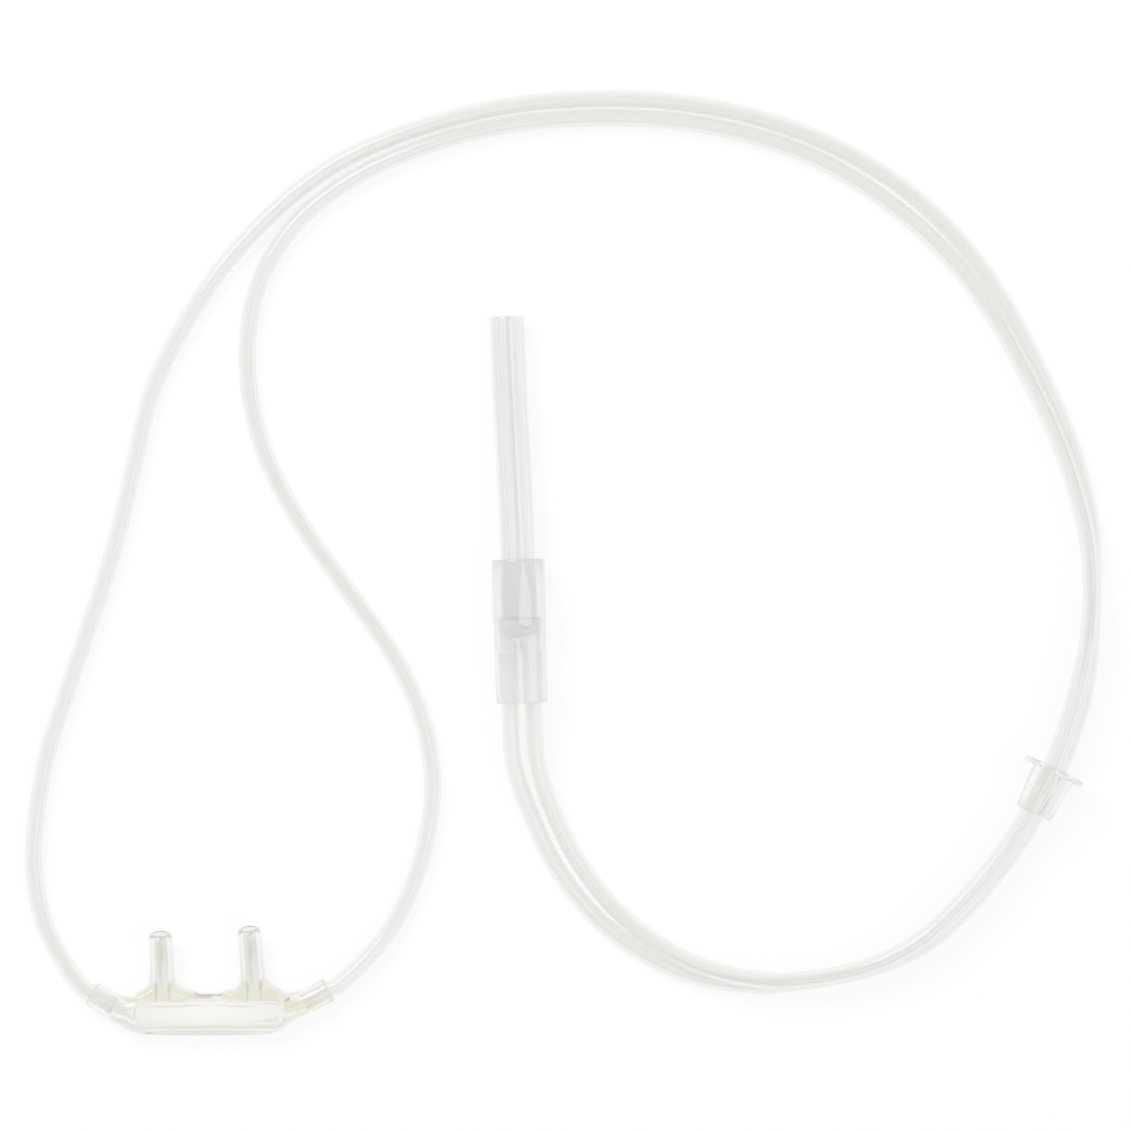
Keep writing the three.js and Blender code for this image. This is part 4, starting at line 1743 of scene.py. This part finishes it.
TUBING = ClearPvc(
    "clear_tubing", tint=(0.77, 0.785, 0.725), haze=(0.69, 0.705, 0.64), depth=(0.74, 0.77, 0.66),
    absorption=450.0, roughness=0.08, transmission=0.83, marks=Marks.DRAWN, relief=0.00001,
    bonded=(NOSE_SOCKET_DEPTH - END_GAP, BRANCH_SOCKET_DEPTH - END_GAP))
SUPPLY_TUBING = ClearPvc(
    "clear_supply_tubing", tint=(0.80, 0.81, 0.80), haze=(0.72, 0.74, 0.72), depth=(0.76, 0.78, 0.76),
    absorption=350.0, roughness=0.04, transmission=0.86, marks=Marks.DRAWN, relief=0.00001)
NOSEPIECE_PVC = ClearPvc(
    "nosepiece_pvc", tint=(0.80, 0.79, 0.73), haze=(0.70, 0.69, 0.62), depth=(0.64, 0.63, 0.53),
    absorption=280.0, roughness=0.03, transmission=0.94, marks=Marks.MOULDED, relief=0.00003,
    # In this order: the pad's painted highlight, the collars, the yellowed corners and edges,
    # the prongs' roots, then painted shade: along the prongs' bores, in the hollow between them,
    # in the pad's front groove and along the ledge
    places=(
        # Painted highlight: the pad is painted lighter than the plastic round it
        TintAndPaintedLightPlace((0.0, 0.0001), (0.0150, 0.0028), (1.0, 1.0, 0.97)),
        TintAndPaintedLightPlace((-0.0192, 0.0027), (0.0034, 0.0026), (0.97, 0.96, 0.93)),
        TintAndPaintedLightPlace((0.0192, 0.0036), (0.0036, 0.0024), (0.95, 0.94, 0.90)),
        TintAndPaintedLightPlace((-0.0121, 0.0040), (0.0036, 0.0026), YELLOWED),
        TintAndPaintedLightPlace((-0.0052, 0.0041), (0.0036, 0.0024), YELLOWED),
        TintAndPaintedLightPlace((0.0043, 0.0041), (0.0036, 0.0026), YELLOWED),
        TintAndPaintedLightPlace((0.0114, 0.0040), (0.0042, 0.0028), YELLOWED),
        TintAndPaintedLightPlace((-0.0005, -0.0037), (0.0165, 0.0010), YELLOWED),
        TintAndPaintedLightPlace((0.0176, 0.0006), (0.0062, 0.0022), YELLOWED),
        TintAndPaintedLightPlace((-0.0138, 0.0032), (0.0046, 0.0012), YELLOWED),
        TintAndPaintedLightPlace((-0.0085, 0.0036), (0.0022, 0.0040), ROOT_TINT),
        TintAndPaintedLightPlace((0.0077, 0.0037), (0.0022, 0.0040), ROOT_TINT),
        # Painted shade down the middle of both prongs, along their bores
        TintAndPaintedLightPlace((-0.0087, 0.0110), (0.0021, 0.0100), (0.46, 0.47, 0.39)),
        TintAndPaintedLightPlace((0.0072, 0.0115), (0.0021, 0.0105), (0.45, 0.47, 0.38)),
        # Painted shade in the hollow between the prongs
        TintAndPaintedLightPlace((-0.0004, 0.0027), (0.0046, 0.0017), SHADED),
        # Painted shade in the pad's front groove
        TintAndPaintedLightPlace((0.0, -0.0021), (0.0150, 0.0004), (0.60, 0.59, 0.48)),
        # Painted shade along the ledge and the lower edge
        TintAndPaintedLightPlace((-0.0005, -0.0033), (0.0160, 0.0005), (0.40, 0.40, 0.26)),
    ))
CONNECTOR_PVC = ClearPvc(
    "connector_pvc", tint=(0.72, 0.70, 0.685), haze=(0.64, 0.62, 0.605), depth=(0.60, 0.59, 0.575),
    absorption=330.0, roughness=0.04, transmission=0.82, marks=Marks.MOULDED, relief=0.00003,
    # In this order: the branches, then painted shade along the wide socket's floor,
    # at the end of the web's arch and on the web behind it
    places=(
        TintAndPaintedLightPlace((0.0549, 0.0575), (0.0100, 0.0095), (1.0, 0.99, 0.96)),
        # Painted shade lines along the wide socket's floor and across the end of the web's arch
        TintAndPaintedLightPlace((0.0545, 0.0700), (0.0062, 0.0004), PAINTED_SHADE_LINE),
        TintAndPaintedLightPlace((0.0547, 0.0666), (0.0026, 0.0007), PAINTED_SHADE_LINE),
        # Painted shade on the web below the arch
        TintAndPaintedLightPlace((0.0547, 0.0651), (0.0014, 0.0018), (0.42, 0.41, 0.39)),
    ))
SLIDER_PVC = ClearPvc(
    "slider_plastic", tint=(0.91, 0.90, 0.86), haze=(0.86, 0.85, 0.81), depth=(0.70, 0.70, 0.62),
    absorption=90.0, roughness=0.06, transmission=0.90, marks=Marks.MOULDED, relief=0.00002,
    # In this order: the slider's inner half, painted lighter as its lit side,
    # and its outer half, painted darker as painted shade
    places=(
        TintAndPaintedLightPlace((0.1447, 0.0414), (0.0044, 0.0066), (0.94, 0.91, 0.83)),
        TintAndPaintedLightPlace((0.1498, 0.0398), (0.0036, 0.0064), (0.76, 0.765, 0.72)),
    ))


def main() -> None:
    """Builds the scene: camera and cords first, then the mouldings, then the studio."""
    logging.basicConfig(level=logging.INFO, format="%(message)s")
    studio = Studio()
    studio.camera()
    sweep = HoseSweep()
    nosepiece = Nosepiece()
    pair = TubePair(nosepiece)
    tubing = TUBING.material()
    for side in Side:
        HeadTube(side, pair).build(sweep, tubing)
    SupplyTube().build(sweep, SUPPLY_TUBING.material())
    stood_for(nosepiece.build(NOSEPIECE_PVC.material()), "cannula", "nosepiece")
    stood_for(YConnector().build(CONNECTOR_PVC.material()), "cannula", "y_connector")
    stood_for(Slider().build(SLIDER_PVC.material()), "slider", "slider")
    studio.floor()
    studio.lights()


if __name__ == "__main__":
    main()
